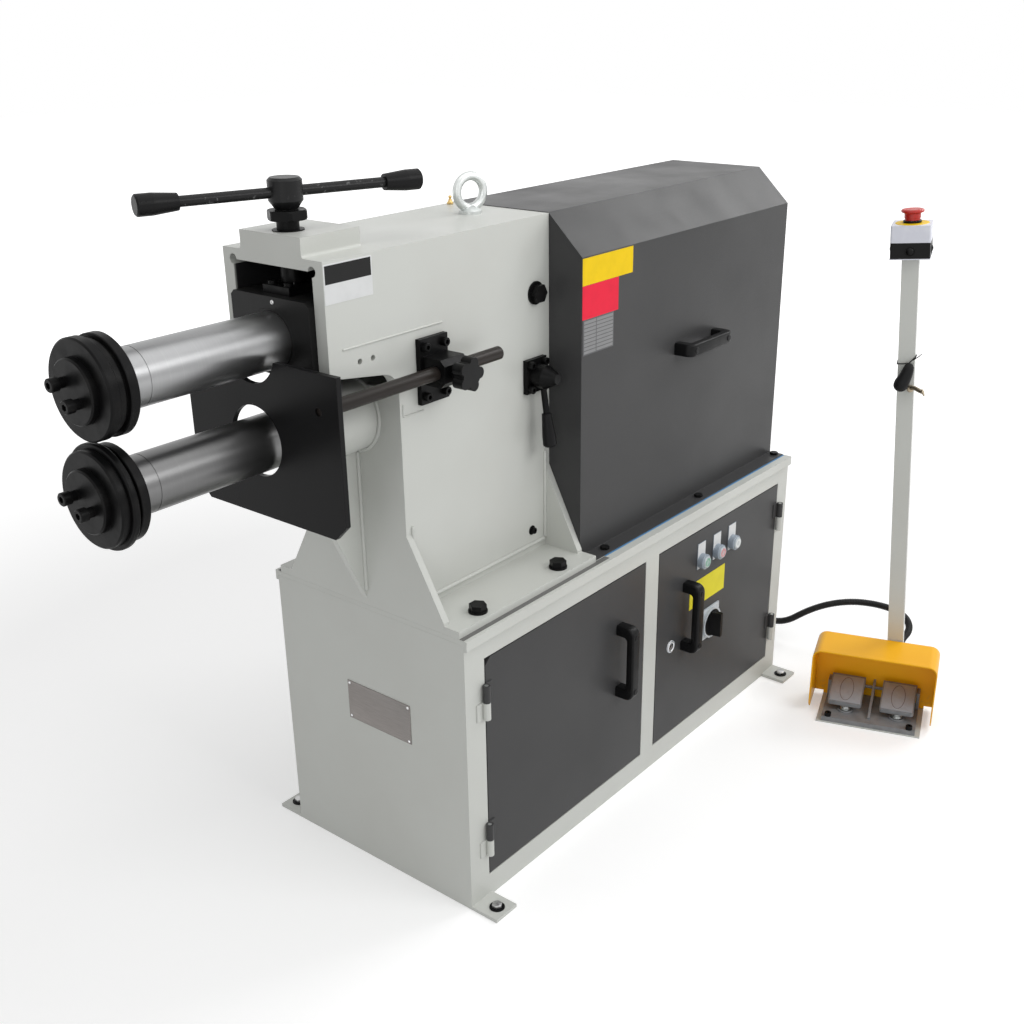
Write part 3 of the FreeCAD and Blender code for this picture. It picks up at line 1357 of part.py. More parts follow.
def make_foot_retainer():
    """The housing that holds the screw's foot on the arm, with its two screws."""
    half_length = S.retainer_length / 2
    x_span = (screw_x - half_length, screw_x + half_length)
    blank = box("retainer_blank", x_span, (-S.retainer_half, S.retainer_half), (arm_top, retainer_top))
    cavity = S.foot_disc + S.foot_sway
    neck = S.foot_neck + S.foot_sway
    cutters = [
        rod("retainer_cavity", "z", (screw_x, 0), cavity, arm_top - S.cut_over, cavity_top),
        rod("retainer_neck", "z", (screw_x, 0), neck, arm_top, retainer_top + S.cut_over),
    ]
    for number, (x, y) in enumerate(retainer_screw_places(), start=1):
        hole = S.retainer_screw + S.seat_clearance
        over = (arm_top - S.cut_over, retainer_top + S.cut_over)
        cutters.append(rod(f"retainer_screw_way_{number}", "z", (x, y), hole, *over))
    pieces = [minus("retainer_housing", blank, cutters)]
    bite = retainer_top - arm_top + retainer_screw_bite()
    for number, (x, y) in enumerate(retainer_screw_places(), start=1):
        head = S.retainer_screw * 1.25
        name = f"retainer_screw_{number}"
        pieces.append(cap_screw(name, (x, y, retainer_top), "+z", S.retainer_screw, bite, None, head))
    node("foot_retainer", group("foot_retainer_set", pieces))


def make_screw_foot():
    pin_top = screw_low + S.foot_pin_length
    node("screw_foot", turned("screw_foot_body", (screw_x, 0, foot_low), "+z", [
        (0, 0),
        (S.foot_disc, 0),
        (S.foot_disc, S.foot_disc_thickness),
        (S.foot_neck, S.foot_disc_thickness),
        (S.foot_neck, screw_low - S.free_gap - foot_low),
        (S.foot_pin, screw_low - S.free_gap - foot_low),
        (S.foot_pin, pin_top - foot_low),
        (0, pin_top - foot_low),
    ]))


screw_top = column_top + S.screw_top
nut_top = column_top + S.boss_height + S.nut_flange_thickness


def make_adjust_screw():
    bore = S.foot_pin + S.run_clearance
    bore_top = S.foot_pin_length + S.free_gap
    length = screw_top - screw_low
    node("adjust_screw", turned("adjust_screw_body", (screw_x, 0, screw_low), "+z", [
        (bore, 0),
        (S.screw_radius, 0),
        (S.screw_radius, length),
        (0, length),
        (0, bore_top),
        (bore, bore_top),
    ]))


def make_screw_nut():
    bore = S.screw_radius + S.run_clearance
    depth = S.boss_height + S.crown_thickness
    node("screw_nut", turned("screw_nut_body", (screw_x, 0, column_top + S.boss_height), "+z", [
        (bore, -depth),
        (S.nut_body, -depth),
        (S.nut_body, 0),
        (S.nut_flange, 0),
        (S.nut_flange, S.nut_flange_thickness),
        (bore, S.nut_flange_thickness),
    ]))


def make_stop_nut():
    low = nut_top + S.stop_nut_gap
    high = low + S.stop_nut_height
    blank = hexagon("stop_nut_hexagon", (screw_x, 0, low), "+z", S.stop_nut_radius, S.stop_nut_height)
    rounding = S.stop_nut_radius * 0.97
    edge = S.stop_nut_height / 6
    shape = turned("stop_nut_rounding", (screw_x, 0, low), "+z", [
        (0, 0),
        (rounding * 0.93, 0),
        (rounding, edge),
        (rounding, S.stop_nut_height - edge),
        (rounding * 0.93, S.stop_nut_height),
        (0, S.stop_nut_height),
    ])
    rounded = doc.addObject("Part::MultiCommon", "stop_nut_rounded")
    rounded.Shapes = [blank, shape]
    bore_radius = S.screw_radius + S.seat_clearance
    bore = rod("stop_nut_bore", "z", (screw_x, 0), bore_radius, low - S.cut_over, high + S.cut_over)
    node("stop_nut", minus("stop_nut_body", rounded, [bore]))


def tee_frame():
    return ((screw_x, 0, screw_top), "z", S.tee_turn)


def make_tee_bar():
    """The hub on the screw's head with the bar through it."""
    half = S.tee_length / 2
    hub = turned("tee_hub", ORIGIN, "+z", [
        (0, 0),
        (S.screw_radius, 0),
        (S.screw_radius + S.seat_clearance, 0),
        (S.hub_radius, S.hub_cone),
        (S.hub_radius, S.hub_height - S.hub_crown),
        (S.hub_radius - S.hub_crown, S.hub_height),
        (0, S.hub_height),
    ])
    inside = S.grip_length - S.grip_neck
    bar = rod("tee_rod", "x", (0, S.tee_height), S.tee_radius, -half + inside, half - inside)
    spigot_radius = S.tee_radius * 0.7
    spigot = rod("tee_spigots", "x", (0, S.tee_height), spigot_radius, -half + S.grip_neck,
                 half - S.grip_neck)
    node("tee_bar", place(union("tee_bar_body", [hub, bar, spigot]), tee_frame()))


def make_tee_grips():
    """Moulded grips pushed over the bar's ends."""
    half = S.tee_length / 2
    spigot_radius = S.tee_radius * 0.7 + S.seat_clearance
    mouth = S.grip_neck
    bore_depth = S.grip_length - S.grip_neck
    height = S.tee_height
    grips = []
    for name, toward, x in (("left", "+x", -half), ("right", "-x", half)):
        grips.append(turned(f"{name}_tee_grip", (x, 0, height), toward, [
            (0, 0),
            (S.grip_radius - S.grip_bevel, 0),
            (S.grip_radius, S.grip_bevel),
            (S.grip_radius, S.grip_length / 3),
            (S.grip_neck, bore_depth),
            (spigot_radius, bore_depth),
            (spigot_radius, mouth),
            (0, mouth),
        ], tee_frame()))
    node("tee_grips", group("tee_grip_set", grips))


# ---------------------------------------------------------------- shafts, rollers, gears

def make_shaft(name, axis_z, roller_rear, rear_end):
    """A shaft from its roller to its rear end, with spigots and a collar seam."""
    length = gear_front - roller_rear
    spigot = S.roller_width - S.cut_over
    seam = S.seam_place
    seam_radius = S.shaft_radius - S.seam_depth
    holes = []
    angle = S.upper_screw_angle if name == "upper_shaft" else S.lower_screw_angle
    for number, (y, z) in enumerate(end_screw_places(angle), start=1):
        bore = S.end_screw_shank + S.seat_clearance
        front = roller_rear - spigot
        span = (front - S.cut_over, front + S.end_screw_bite)
        holes.append(rod(f"{name}_screw_hole_{number}", "x", (y, axis_z + z), bore, *span))
    blank = turned(name + "_blank", (roller_rear, 0, axis_z), "+x", [
        (0, -spigot),
        (S.spigot_radius, -spigot),
        (S.spigot_radius, 0),
        (S.shaft_radius, 0),
        (S.shaft_radius, seam),
        (seam_radius, seam),
        (seam_radius, seam + S.seam_width),
        (S.shaft_radius, seam + S.seam_width),
        (S.shaft_radius, length),
        (S.spigot_radius, length),
        (S.spigot_radius, rear_end - roller_rear),
        (0, rear_end - roller_rear),
    ])
    node(name, minus(name + "_body", blank, holes))


def end_screw_places(angle):
    y = S.end_screw_spread * cosine(angle)
    z = S.end_screw_spread * sine(angle)
    return [(y, z), (-y, -z)]


def make_end_cap(name, axis_z, roller_rear, angle):
    """A cap that holds a roller on its shaft, with its two screws."""
    roller_front = roller_rear - S.roller_width
    cap_front = roller_front - S.end_cap_thickness
    blank = turned(name + "_blank", (roller_front, 0, axis_z), "-x", [
        (0, 0),
        (S.end_cap_radius, 0),
        (S.end_cap_radius, S.end_cap_thickness - S.end_cap_bevel),
        (S.end_cap_radius - S.end_cap_bevel, S.end_cap_thickness),
        (0, S.end_cap_thickness),
    ])
    holes = []
    screws = []
    for number, (y, z) in enumerate(end_screw_places(angle), start=1):
        across = (y, axis_z + z)
        bore = S.end_screw_shank + S.seat_clearance
        over = (cap_front - S.cut_over, roller_front + S.cut_over)
        holes.append(rod(f"{name}_hole_{number}", "x", across, bore, *over))
        bite = S.end_screw_sleeve_length + S.end_cap_thickness + S.end_screw_bite
        under_head = cap_front - S.end_screw_sleeve_length
        at = (under_head, y, axis_z + z)
        screw = cap_screw(f"{name}_screw_{number}", at, "-x", S.end_screw_shank, bite, S.end_screw_head,
                          S.end_screw_height)
        sleeve = rod(f"{name}_sleeve_{number}", "x", across, S.end_screw_sleeve, under_head, cap_front)
        screws.append(union(f"{name}_sleeved_screw_{number}", [screw, sleeve]))
    node(name, group(name + "_set", [minus(name + "_disc", blank, holes)] + screws))


def make_upper_roller(roller_rear):
    bore = S.spigot_radius + S.seat_clearance
    groove_front = S.rear_flange + S.upper_groove_width
    band_front = groove_front + S.upper_band_width
    edge = S.flange_bevel
    node("upper_roller", turned("upper_roller_body", (roller_rear, 0, upper_axis), "-x", [
        (bore, 0),
        (S.flange_radius - edge, 0),
        (S.flange_radius, edge),
        (S.flange_radius, S.rear_flange - edge / 2),
        (S.flange_radius - edge / 2, S.rear_flange),
        (S.upper_groove, S.rear_flange),
        (S.upper_groove, groove_front),
        (S.upper_band, groove_front),
        (S.upper_band, band_front),
        (S.flange_radius - edge / 2, band_front),
        (S.flange_radius, band_front + edge / 2),
        (S.flange_radius, S.roller_width - edge),
        (S.flange_radius - edge, S.roller_width),
        (bore, S.roller_width),
    ]))


def make_lower_roller(roller_rear):
    bore = S.spigot_radius + S.seat_clearance
    groove_front = S.rear_flange + S.lower_groove_width
    bead_front = groove_front + S.lower_bead_width
    edge = S.flange_bevel
    round_off = S.bead_round
    step = S.flange_radius - S.lower_step
    node("lower_roller", turned("lower_roller_body", (roller_rear, 0, lower_axis), "-x", [
        (bore, 0),
        (S.flange_radius - edge, 0),
        (S.flange_radius, edge),
        (S.flange_radius, S.rear_flange - edge / 2),
        (S.flange_radius - edge / 2, S.rear_flange),
        (S.lower_groove, S.rear_flange),
        (S.lower_groove, groove_front),
        (S.lower_bead - round_off, groove_front, round_off * 1),
        (S.lower_bead, groove_front + round_off),
        (S.lower_bead, bead_front - round_off, round_off * 1),
        (S.lower_bead - round_off, bead_front),
        (step - edge / 2, bead_front),
        (step, bead_front + edge / 2),
        (step, S.roller_width - edge),
        (step - edge, S.roller_width),
        (bore, S.roller_width),
    ]))


def make_gear(name, axis_z, turn):
    """A spur gear on a shaft's rear spigot; the teeth are thinned for the arm's swing."""
    module = S.axis_spacing / S.gear_teeth
    pitch = S.axis_spacing / 2
    tip = pitch + module * 0.8
    root = pitch - module * 1.3
    thin = S.gear_backlash / 2
    body = doc.addObject("PartDesign::Body", name + "_body")
    bore = S.spigot_radius + S.seat_clearance
    pad(body, name + "_disc", "z", 0, S.gear_width, (), [((0, 0), root), ((0, 0), bore)])
    base_half = module * 0.86 - thin
    pitch_half = module * 0.785 - thin
    tip_half = module * 0.44 - thin
    inside = root - module / 4
    tooth = pad(body, name + "_tooth", "z", 0, S.gear_width, [
        (inside, -base_half),
        (root, -base_half),
        (pitch, -pitch_half),
        (tip, -tip_half),
        (tip, tip_half),
        (pitch, pitch_half),
        (root, base_half),
        (inside, base_half),
    ])
    doc.recompute()
    row = body.newObject("PartDesign::PolarPattern", name + "_teeth")
    row.Originals = [tooth]
    row.Axis = (tooth.Profile[0], ["N_Axis"])
    row.Angle = 360
    bind(row, "Occurrences", S.gear_teeth)
    body.Tip = row
    node(name, place(body, ((gear_front, 0, axis_z), "x", turn), (ORIGIN, "y", 90)))


# ---------------------------------------------------------------- gauge, clamp and lever

def make_gauge_plate():
    rear = column_front - S.gauge_rear
    low = lower_axis - S.gauge_low
    high = lower_axis + S.gauge_high
    clip = S.gauge_corner
    outline = [
        (-S.gauge_near, low + clip),
        (-S.gauge_near + clip, low),
        (S.gauge_far - clip, low),
        (S.gauge_far, low + clip),
        (S.gauge_far, high),
        (-S.gauge_near, high),
    ]
    spigot = S.rod_radius * 0.6 + S.seat_clearance
    holes = [((0, lower_axis + S.gauge_hole_rise), S.gauge_hole), ((-S.rod_out, rod_z), spigot)]
    plate = prism("gauge_sheet", "x", rear - S.gauge_thickness, rear, outline, holes)
    over = (rear - S.gauge_thickness - S.cut_over, rear + S.cut_over)
    notch = rod("gauge_notch_tool", "x", (0, upper_axis), S.gauge_notch, *over)
    node("gauge_plate", minus("gauge_plate_body", plate, [notch]))


def make_gauge_rod():
    rear = column_front - S.gauge_rear
    edge = S.rod_radius / 5
    node("gauge_rod", turned("gauge_rod_body", (rear, -S.rod_out, rod_z), "+x", [
        (0, -S.rod_spigot),
        (S.rod_radius * 0.6, -S.rod_spigot),
        (S.rod_radius * 0.6, 0),
        (S.rod_radius, 0),
        (S.rod_radius, S.rod_length - edge),
        (S.rod_radius - edge, S.rod_length),
        (0, S.rod_length),
    ]))


def jaw_middle():
    """X of the clamp jaw's middle and of its knob."""
    return column_front + S.clamp_front + S.clamp_length - S.jaw_length / 2 - S.jaw_rear_step


def make_rod_clamp():
    """A plate on the column's side with a jaw that the gauge rod slides through."""
    low_x = column_front + S.clamp_front
    low_z = lower_axis + S.clamp_low
    x_span = (low_x, low_x + S.clamp_length)
    z_span = (low_z, low_z + S.clamp_height)
    plate = box("clamp_plate", x_span, (plate_face, side_face), z_span)
    half_x = S.jaw_length / 2
    half_z = S.jaw_height / 2
    middle = jaw_middle()
    outer = plate_face - S.jaw_depth
    clip = S.jaw_bevel
    jaw = prism("clamp_jaw", "x", middle - half_x, middle + half_x, [
        (plate_face, rod_z - half_z),
        (plate_face, rod_z + half_z),
        (outer + clip, rod_z + half_z),
        (outer, rod_z + half_z - clip),
        (outer, rod_z - half_z + clip),
        (outer + clip, rod_z - half_z),
    ])
    over = (low_x - S.cut_over, low_x + S.clamp_length + S.cut_over)
    stem_hole = S.star_stem + S.run_clearance
    cutters = [
        rod("clamp_bore", "x", (-S.rod_out, rod_z), S.rod_radius + S.run_clearance, *over),
        rod("clamp_stem_hole", "y", (middle, rod_z), stem_hole, outer - S.cut_over, -S.rod_out),
    ]
    for number, (kind, x, z) in enumerate(clamp_screw_places(), start=1):
        if kind == "clamp":
            hole = S.small_screw + S.seat_clearance
            span = (plate_face - S.cut_over, side_face + S.cut_over)
            cutters.append(rod(f"clamp_plate_hole_{number}", "y", (x, z), hole, *span))
    node("rod_clamp", minus("rod_clamp_body", union("clamp_blank", [plate, jaw]), cutters))


def make_clamp_knob():
    """A star knob whose stem presses on the gauge rod."""
    middle = jaw_middle()
    jaw_face = plate_face - S.jaw_depth
    near_face = jaw_face - S.star_stand
    stem_end = -(as_size(S.rod_out) + S.rod_radius + S.free_gap)
    body = doc.addObject("PartDesign::Body", "star_body")
    pad(body, "star_core_pad", "z", 0, S.star_thickness, (), [((0, 0), S.star_core)])
    lobe_out = S.star_radius - S.star_lobe_radius
    lobe = pad(body, "star_lobe", "z", 0, S.star_thickness, (), [((lobe_out, 0), S.star_lobe_radius)])
    doc.recompute()
    lobes = body.newObject("PartDesign::PolarPattern", "star_lobes_row")
    lobes.Originals = [lobe]
    lobes.Axis = (lobe.Profile[0], ["N_Axis"])
    lobes.Angle = 360
    bind(lobes, "Occurrences", S.star_lobes)
    body.Tip = lobes
    neck = rod("star_neck_rod", "z", (0, 0), S.star_neck, -(S.star_stand - S.free_gap), 0)
    stem = rod("star_stem_rod", "z", (0, 0), S.star_stem, near_face - stem_end, 0)
    knob = union("clamp_knob_body", [body, neck, stem])
    turn_axis, turn = TOWARD["-y"]
    node("clamp_knob", place(knob, ((middle, near_face, rod_z), turn_axis, turn)))


def lever_axis_place():
    x = column_front + S.lever_front + S.lever_flange_length / 2
    return x, lower_axis + S.lever_flange_low + S.lever_flange_height / 2


def make_lever_flange():
    x, z = lever_axis_place()
    half_x = S.lever_flange_length / 2
    half_z = S.lever_flange_height / 2
    outline = [(x - half_x, z - half_z), (x + half_x, z - half_z), (x + half_x, z + half_z),
               (x - half_x, z + half_z)]
    hole = S.small_screw + S.seat_clearance
    holes = []
    for kind, screw_at, height in clamp_screw_places():
        if kind == "lever":
            holes.append(((screw_at, height), hole))
    flange = prism("lever_flange_plate", "y", plate_face, side_face, outline, holes)
    stub = rod("lever_stub_rod", "y", (x, z), S.lever_stub, plate_face - S.lever_stub_length, side_face)
    node("lever_flange", union("lever_flange_body", [flange, stub]))


def lever_frame():
    x, z = lever_axis_place()
    return ((x, plate_face - S.free_gap - S.lever_hub_depth / 2, z), "x", -S.lever_lean)


def make_lock_lever():
    x, z = lever_axis_place()
    bore = S.lever_stub + S.run_clearance
    bore_depth = S.lever_stub_length + S.free_gap
    hub = turned("lever_hub_body", (x, plate_face - S.free_gap, z), "-y", [
        (bore, 0),
        (S.lever_hub, 0),
        (S.lever_hub, S.lever_hub_depth),
        (S.lever_tip, S.lever_hub_depth + S.lever_cone),
        (0, S.lever_hub_depth + S.lever_cone),
        (0, bore_depth),
        (bore, bore_depth),
    ])
    spigot = S.lever_rod * 0.6
    start = S.lever_hub * 0.7
    arm = turned("lever_rod_body", ORIGIN, "-z", [
        (0, start),
        (S.lever_rod, start),
        (S.lever_rod, S.lever_rod_length),
        (spigot, S.lever_rod_length),
        (spigot, S.lever_rod_length + S.lever_grip_length / 2),
        (0, S.lever_rod_length + S.lever_grip_length / 2),
    ], lever_frame())
    node("lock_lever", union("lock_lever_body", [hub, arm]))


def make_lever_grip():
    spigot = S.lever_rod * 0.6 + S.seat_clearance
    depth = S.lever_grip_length / 2 + S.seat_clearance
    edge = S.lever_grip_end / 4
    node("lever_grip", turned("lever_grip_body", ORIGIN, "-z", [
        (spigot, S.lever_rod_length),
        (S.lever_grip_neck, S.lever_rod_length),
        (S.lever_grip_end, S.lever_rod_length + S.lever_grip_length * 0.7),
        (S.lever_grip_end, S.lever_rod_length + S.lever_grip_length - edge),
        (S.lever_grip_end - edge, S.lever_rod_length + S.lever_grip_length),
        (0, S.lever_rod_length + S.lever_grip_length),
        (0, S.lever_rod_length + depth),
        (spigot, S.lever_rod_length + depth),
    ], lever_frame()))


# ---------------------------------------------------------------- drive and hood

def make_drive_bracket():
    rear = gearbox_front + S.bracket_length
    top = lower_axis - S.gearbox_half
    x_span = (gearbox_front, rear)
    half = S.bracket_half
    plate = S.bracket_plate
    web_half = half - plate
    pieces = [
        box("bracket_base", x_span, (-half, half), (bench, bench + plate)),
        box("bracket_top", x_span, (-half, half), (top - plate, top)),
        box("bracket_near_web", x_span, (-web_half, -web_half + plate), (bench, top)),
        box("bracket_far_web", x_span, (web_half - plate, web_half), (bench, top)),
    ]
    node("drive_bracket", union("drive_bracket_body", pieces))


def make_gearbox():
    low = lower_axis - S.gearbox_half
    high = lower_axis + S.gearbox_half
    housing = prism("gearbox_housing", "x", gearbox_front, gearbox_rear,
                    cross_rectangle(S.gearbox_half, low, high))
    bevel(housing, S.gearbox_bevel, lambda edge: near(edge.BoundBox.ZMin, high)
          and near(edge.BoundBox.ZMax, high)
          and edge.BoundBox.YLength < 0.01)
    across = (0, lower_axis)
    boss_front = gearbox_front - S.gearbox_boss_length
    boss = rod("gearbox_boss_rod", "x", across, S.gearbox_boss, boss_front, gearbox_front)
    bore_end = gearbox_front + S.gearbox_bore
    bore = rod("gearbox_bore_tool", "x", across, S.spigot_radius + S.run_clearance,
               boss_front - S.cut_over, bore_end)
    node("gearbox", minus("gearbox_body", union("gearbox_blank", [housing, boss]), [bore]))


def make_motor():
    flange = S.motor_flange_thickness
    body_end = flange + S.motor_length
    cover_end = body_end + S.fan_cover_length
    barrel = turned("motor_barrel", (gearbox_rear, 0, lower_axis), "+x", [
        (0, 0),
        (S.motor_flange, 0),
        (S.motor_flange, flange),
        (S.motor_radius, flange),
        (S.motor_radius, body_end),
        (S.fan_cover, body_end),
        (S.fan_cover, cover_end - flange),
        (S.fan_cover - flange, cover_end),
        (0, cover_end),
    ])
    half = S.terminal_box / 2
    middle = gearbox_rear + flange + S.motor_length / 2
    top = lower_axis + S.motor_radius + S.terminal_rise
    terminals = box("motor_terminals", (middle - half, middle + half), (-half, half), (lower_axis, top))
    node("motor", union("motor_body", [barrel, terminals]))


def hood_outline(inset):
    """The hood's section: upright walls, sloping shoulders and a flat roof."""
    miter = 0.414
    wall = S.hood_half - inset
    shoulder = upper_axis + S.hood_shoulder - inset * miter
    roof_half = S.hood_roof_half - inset * miter
    roof = upper_axis + S.hood_rise - inset
    low = bench if inset.value == 0 else bench - S.cut_over
    return [(-wall, low), (wall, low), (wall, shoulder), (roof_half, roof), (-roof_half, roof),
            (-wall, shoulder)]


def make_hood():
    sheet = S.hood_sheet
    shell = prism("hood_outside", "x", hood_front, hood_rear, hood_outline(as_size(0)))
    inside = prism("hood_inside", "x", hood_front + sheet, hood_rear - sheet, hood_outline(sheet))
    window_z = (lower_axis - S.hood_window_low, upper_axis + S.hood_window_high)
    half = S.hood_window_half
    front = (hood_front - S.cut_over, hood_front + sheet + S.cut_over)
    window = box("hood_window", front, (-half, half), window_z)
    walls = minus("hood_walls", shell, [inside, window])
    pieces = [walls]
    holes = []
    for name, way in (("near", -1), ("far", 1)):
        span = sorted_span(S.hood_half * way, (S.hood_half + S.hood_flange) * way)
        pieces.append(box(f"{name}_hood_flange", (hood_front, hood_rear), span, (bench, bench + sheet)))
    for number, (x, y) in enumerate(hood_bolt_places(), start=1):
        hole = S.hood_bolt_radius + S.free_gap
        holes.append(rod(f"hood_flange_hole_{number}", "z", (x, y), hole, bench - S.cut_over,
                         bench + sheet + S.cut_over))
    node("hood", minus("hood_body", union("hood_blank", pieces), holes))


def make_hood_bolts():
    seat = bench + S.hood_sheet
    bite = S.hood_sheet + S.top_thickness + S.washer_thickness
    bolts = []
    for number, (x, y) in enumerate(hood_bolt_places(), start=1):
        name = f"hood_bolt_{number}"
        bolts.append(hex_bolt(name, (x, y, seat), "+z", S.hood_bolt_radius, bite, S.hood_bolt_head))
    node("hood_bolts", group("hood_bolt_set", bolts))


def make_control_panel():
    """A plate on the cabinet's rear wall with an inverter and two contactors."""
    back = cabinet_side - S.cabinet_sheet
    face = back - S.panel_sheet
    x = S.panel_place
    top = S.panel_low + S.panel_height
    plate = box("panel_plate", (x, x + S.panel_width), (face, back), (S.panel_low, top))
    inverter_x = x + S.device_gap
    inverter_top = top - S.device_gap
    inverter = box("panel_inverter", (inverter_x, inverter_x + S.inverter_width),
                   (face - S.inverter_depth, face),
                   (inverter_top - S.inverter_height, inverter_top))
    pieces = [plate, inverter]
    relay_x = inverter_x + S.inverter_width + S.device_gap
    for number in range(2):
        low_x = relay_x + (S.relay_width + S.device_gap) * number
        pieces.append(box(f"panel_relay_{number + 1}", (low_x, low_x + S.relay_width),
                          (face - S.relay_depth, face),
                          (inverter_top - S.relay_height, inverter_top)))
    node("control_panel", union("control_panel_body", pieces))


# ---------------------------------------------------------------- foot switch station

STATION = ((S.station_x, S.station_y, 0), "z", S.station_turn)
post_middle = (S.post_left + S.post_side / 2, S.post_front + S.post_side / 2)
POST = ((post_middle[0], post_middle[1], S.plate_thickness), "y", -S.post_lean)


def make_station_frame():
    """The station's floor plate with its square post, in the station's frame."""
    plate = prism("station_plate", "z", 0, S.plate_thickness, [
        (0, 0),
        (S.plate_width, 0),
        (S.plate_width, S.plate_depth),
        (0, S.plate_depth),
    ], station_screw_holes())
    half = S.post_side / 2
    bore = half - S.post_wall
    sink = -S.plate_thickness / 2
    outside = box("post_outside", (-half, half), (-half, half), (sink, S.post_length))
    inside = box("post_inside", (-bore, bore), (-bore, bore), (sink - S.cut_over, S.post_length + S.cut_over))
    gland_hole = rod("post_gland_way", "y", (0, S.post_gland_height), S.gland_thread + S.run_clearance, 0,
                     half + S.cut_over)
    post = place(minus("station_post", outside, [inside, gland_hole]), POST)
    node("station_frame", place(union("station_frame_body", [plate, post]), STATION))


def station_screw_places():
    inset = S.small_screw * 3
    left_x = S.base_left + inset
    right_x = S.base_left + S.base_width - inset
    y = S.base_front + inset / 2
    return [(left_x, y), (right_x, y)]


def station_screw_holes():
    hole = S.small_screw + S.seat_clearance
    return [(place_on, hole) for place_on in station_screw_places()]


base_top = S.plate_thickness + S.base_thickness
base_rear = S.guard_front + S.guard_depth - S.guard_sheet


def make_pedal_base():
    """The pedals' base with a fin between the pedals, two outer lugs and the hinge pin."""
    left_x = S.base_left
    right_x = S.base_left + S.base_width
    front = S.base_front
    rear = base_rear
    outline = [(left_x, front), (right_x, front), (right_x, rear), (left_x, rear)]
    slab = prism("pedal_slab", "z", S.plate_thickness, base_top, outline, station_screw_holes())
    middle = (left_x + right_x) / 2
    rib_front = S.rib_front
    rib = prism("pedal_rib", "x", middle - S.rib_half, middle + S.rib_half, [
        (rib_front, S.plate_thickness),
        (rear, S.plate_thickness),
        (rear, base_top + S.rib_rear_rise),
        (rib_front, base_top + S.rib_front_rise),
    ])
    lug_top = S.pedal_axis_height + S.pedal_cheek
    half = S.lug_depth / 2
    pieces = [slab, rib]
    for name, low_x in (("left", left_x), ("right", right_x - S.lug_thickness)):
        span = (S.pedal_axis_depth - half, rear)
        pieces.append(box(f"{name}_pedal_lug", (low_x, low_x + S.lug_thickness), span,
                          (S.plate_thickness, lug_top)))
    pin = rod("pedal_pin_rod", "x", (S.pedal_axis_depth, S.pedal_axis_height), S.pedal_pin, left_x, right_x)
    pieces.append(pin)
    node("pedal_base", place(union("pedal_base_body", pieces), STATION))


def make_pedal(name, low_x, high_x):
    """A pedal plate that slopes up to two cheeks round the hinge pin."""
    front_z = S.pedal_front_height
    rear_y = S.pedal_axis_depth
    rear_z = S.pedal_rear_height
    thick = S.pedal_thickness
    tread = prism(name + "_tread", "x", low_x, high_x, [
        (S.pedal_front, front_z),
        (rear_y, rear_z),
        (rear_y, rear_z + thick),
        (S.pedal_front, front_z + thick),
    ])
    ease(tread, S.pedal_corner, lambda edge: upright(edge) and near(edge.BoundBox.YMin, S.pedal_front))
    pieces = [tread]
    cheek = S.pedal_cheek
    for side, x in (("left", low_x), ("right", high_x - cheek)):
        pieces.append(prism(f"{name}_{side}_cheek", "x", x, x + cheek, [
            (rear_y - cheek, S.pedal_axis_height),
            (rear_y, S.pedal_axis_height - cheek),
            (rear_y + cheek, S.pedal_axis_height),
            (rear_y + cheek, rear_z),
            (rear_y, rear_z + thick),
            (rear_y - cheek * 2, rear_z - cheek / 2),
        ]))
    bore_radius = S.pedal_pin + S.run_clearance
    bore = rod(name + "_bore", "x", (rear_y, S.pedal_axis_height), bore_radius, low_x - S.cut_over,
               high_x + S.cut_over)
    node(name, place(minus(name + "_body", union(name + "_blank", pieces), [bore]), STATION))


def make_pedals():
    left_x = S.base_left
    right_x = S.base_left + S.base_width
    middle = (left_x + right_x) / 2
    outer = S.lug_thickness + S.pedal_gap
    make_pedal("left_pedal", left_x + outer, middle - S.pedal_inner)
    make_pedal("right_pedal", middle + S.pedal_inner, right_x - outer)


def guard_outline(inset, low):
    """The guard's front view with rounded upper corners."""
    left_x = S.guard_left + inset
    right_x = S.guard_left + S.guard_width - inset
    top = S.guard_high - inset
    curve = S.guard_curve - inset
    return [
        (left_x, low),
        (right_x, low),
        (right_x, top - curve, curve),
        (right_x - curve, top),
        (left_x + curve, top, curve),
        (left_x, top - curve),
    ]


def make_pedal_guard():
    """A bent sheet hood over the pedals, open in front, whose back stands on the plate."""
    front = S.guard_front
    rear = S.guard_front + S.guard_depth
    outside = prism("guard_outside", "y", front, rear, guard_outline(as_size(0), S.guard_low))
    inner_low = S.guard_low - S.cut_over
    inner_front = front - S.cut_over
    inside = prism("guard_inside", "y", inner_front, rear - S.guard_sheet,
                   guard_outline(S.guard_sheet, inner_low))
    tip = S.guard_tip
    x_over = (S.guard_left - S.cut_over, S.guard_left + S.guard_width + S.cut_over)
    tips = prism("guard_tips", "x", *x_over, [
        (front - S.cut_over, S.guard_low - S.cut_over),
        (front + tip, S.guard_low - S.cut_over),
        (front - S.cut_over, S.guard_low + tip),
    ])
    shell = minus("guard_shell", outside, [inside, tips])
    back_span = (rear - S.guard_sheet, rear)
    skirt = box("guard_skirt", (0, S.plate_width), back_span, (S.plate_thickness, S.guard_low))
    node("pedal_guard", place(union("pedal_guard_body", [shell, skirt]), STATION))


def estop_blank(name, inset, low, high):
    half = S.estop_side / 2 - inset
    body = prism(name, "z", low, high, [(-half, -half), (half, -half), (half, half), (-half, half)])
    if inset.value == 0:
        ease(body, S.estop_edge, upright)
    return body


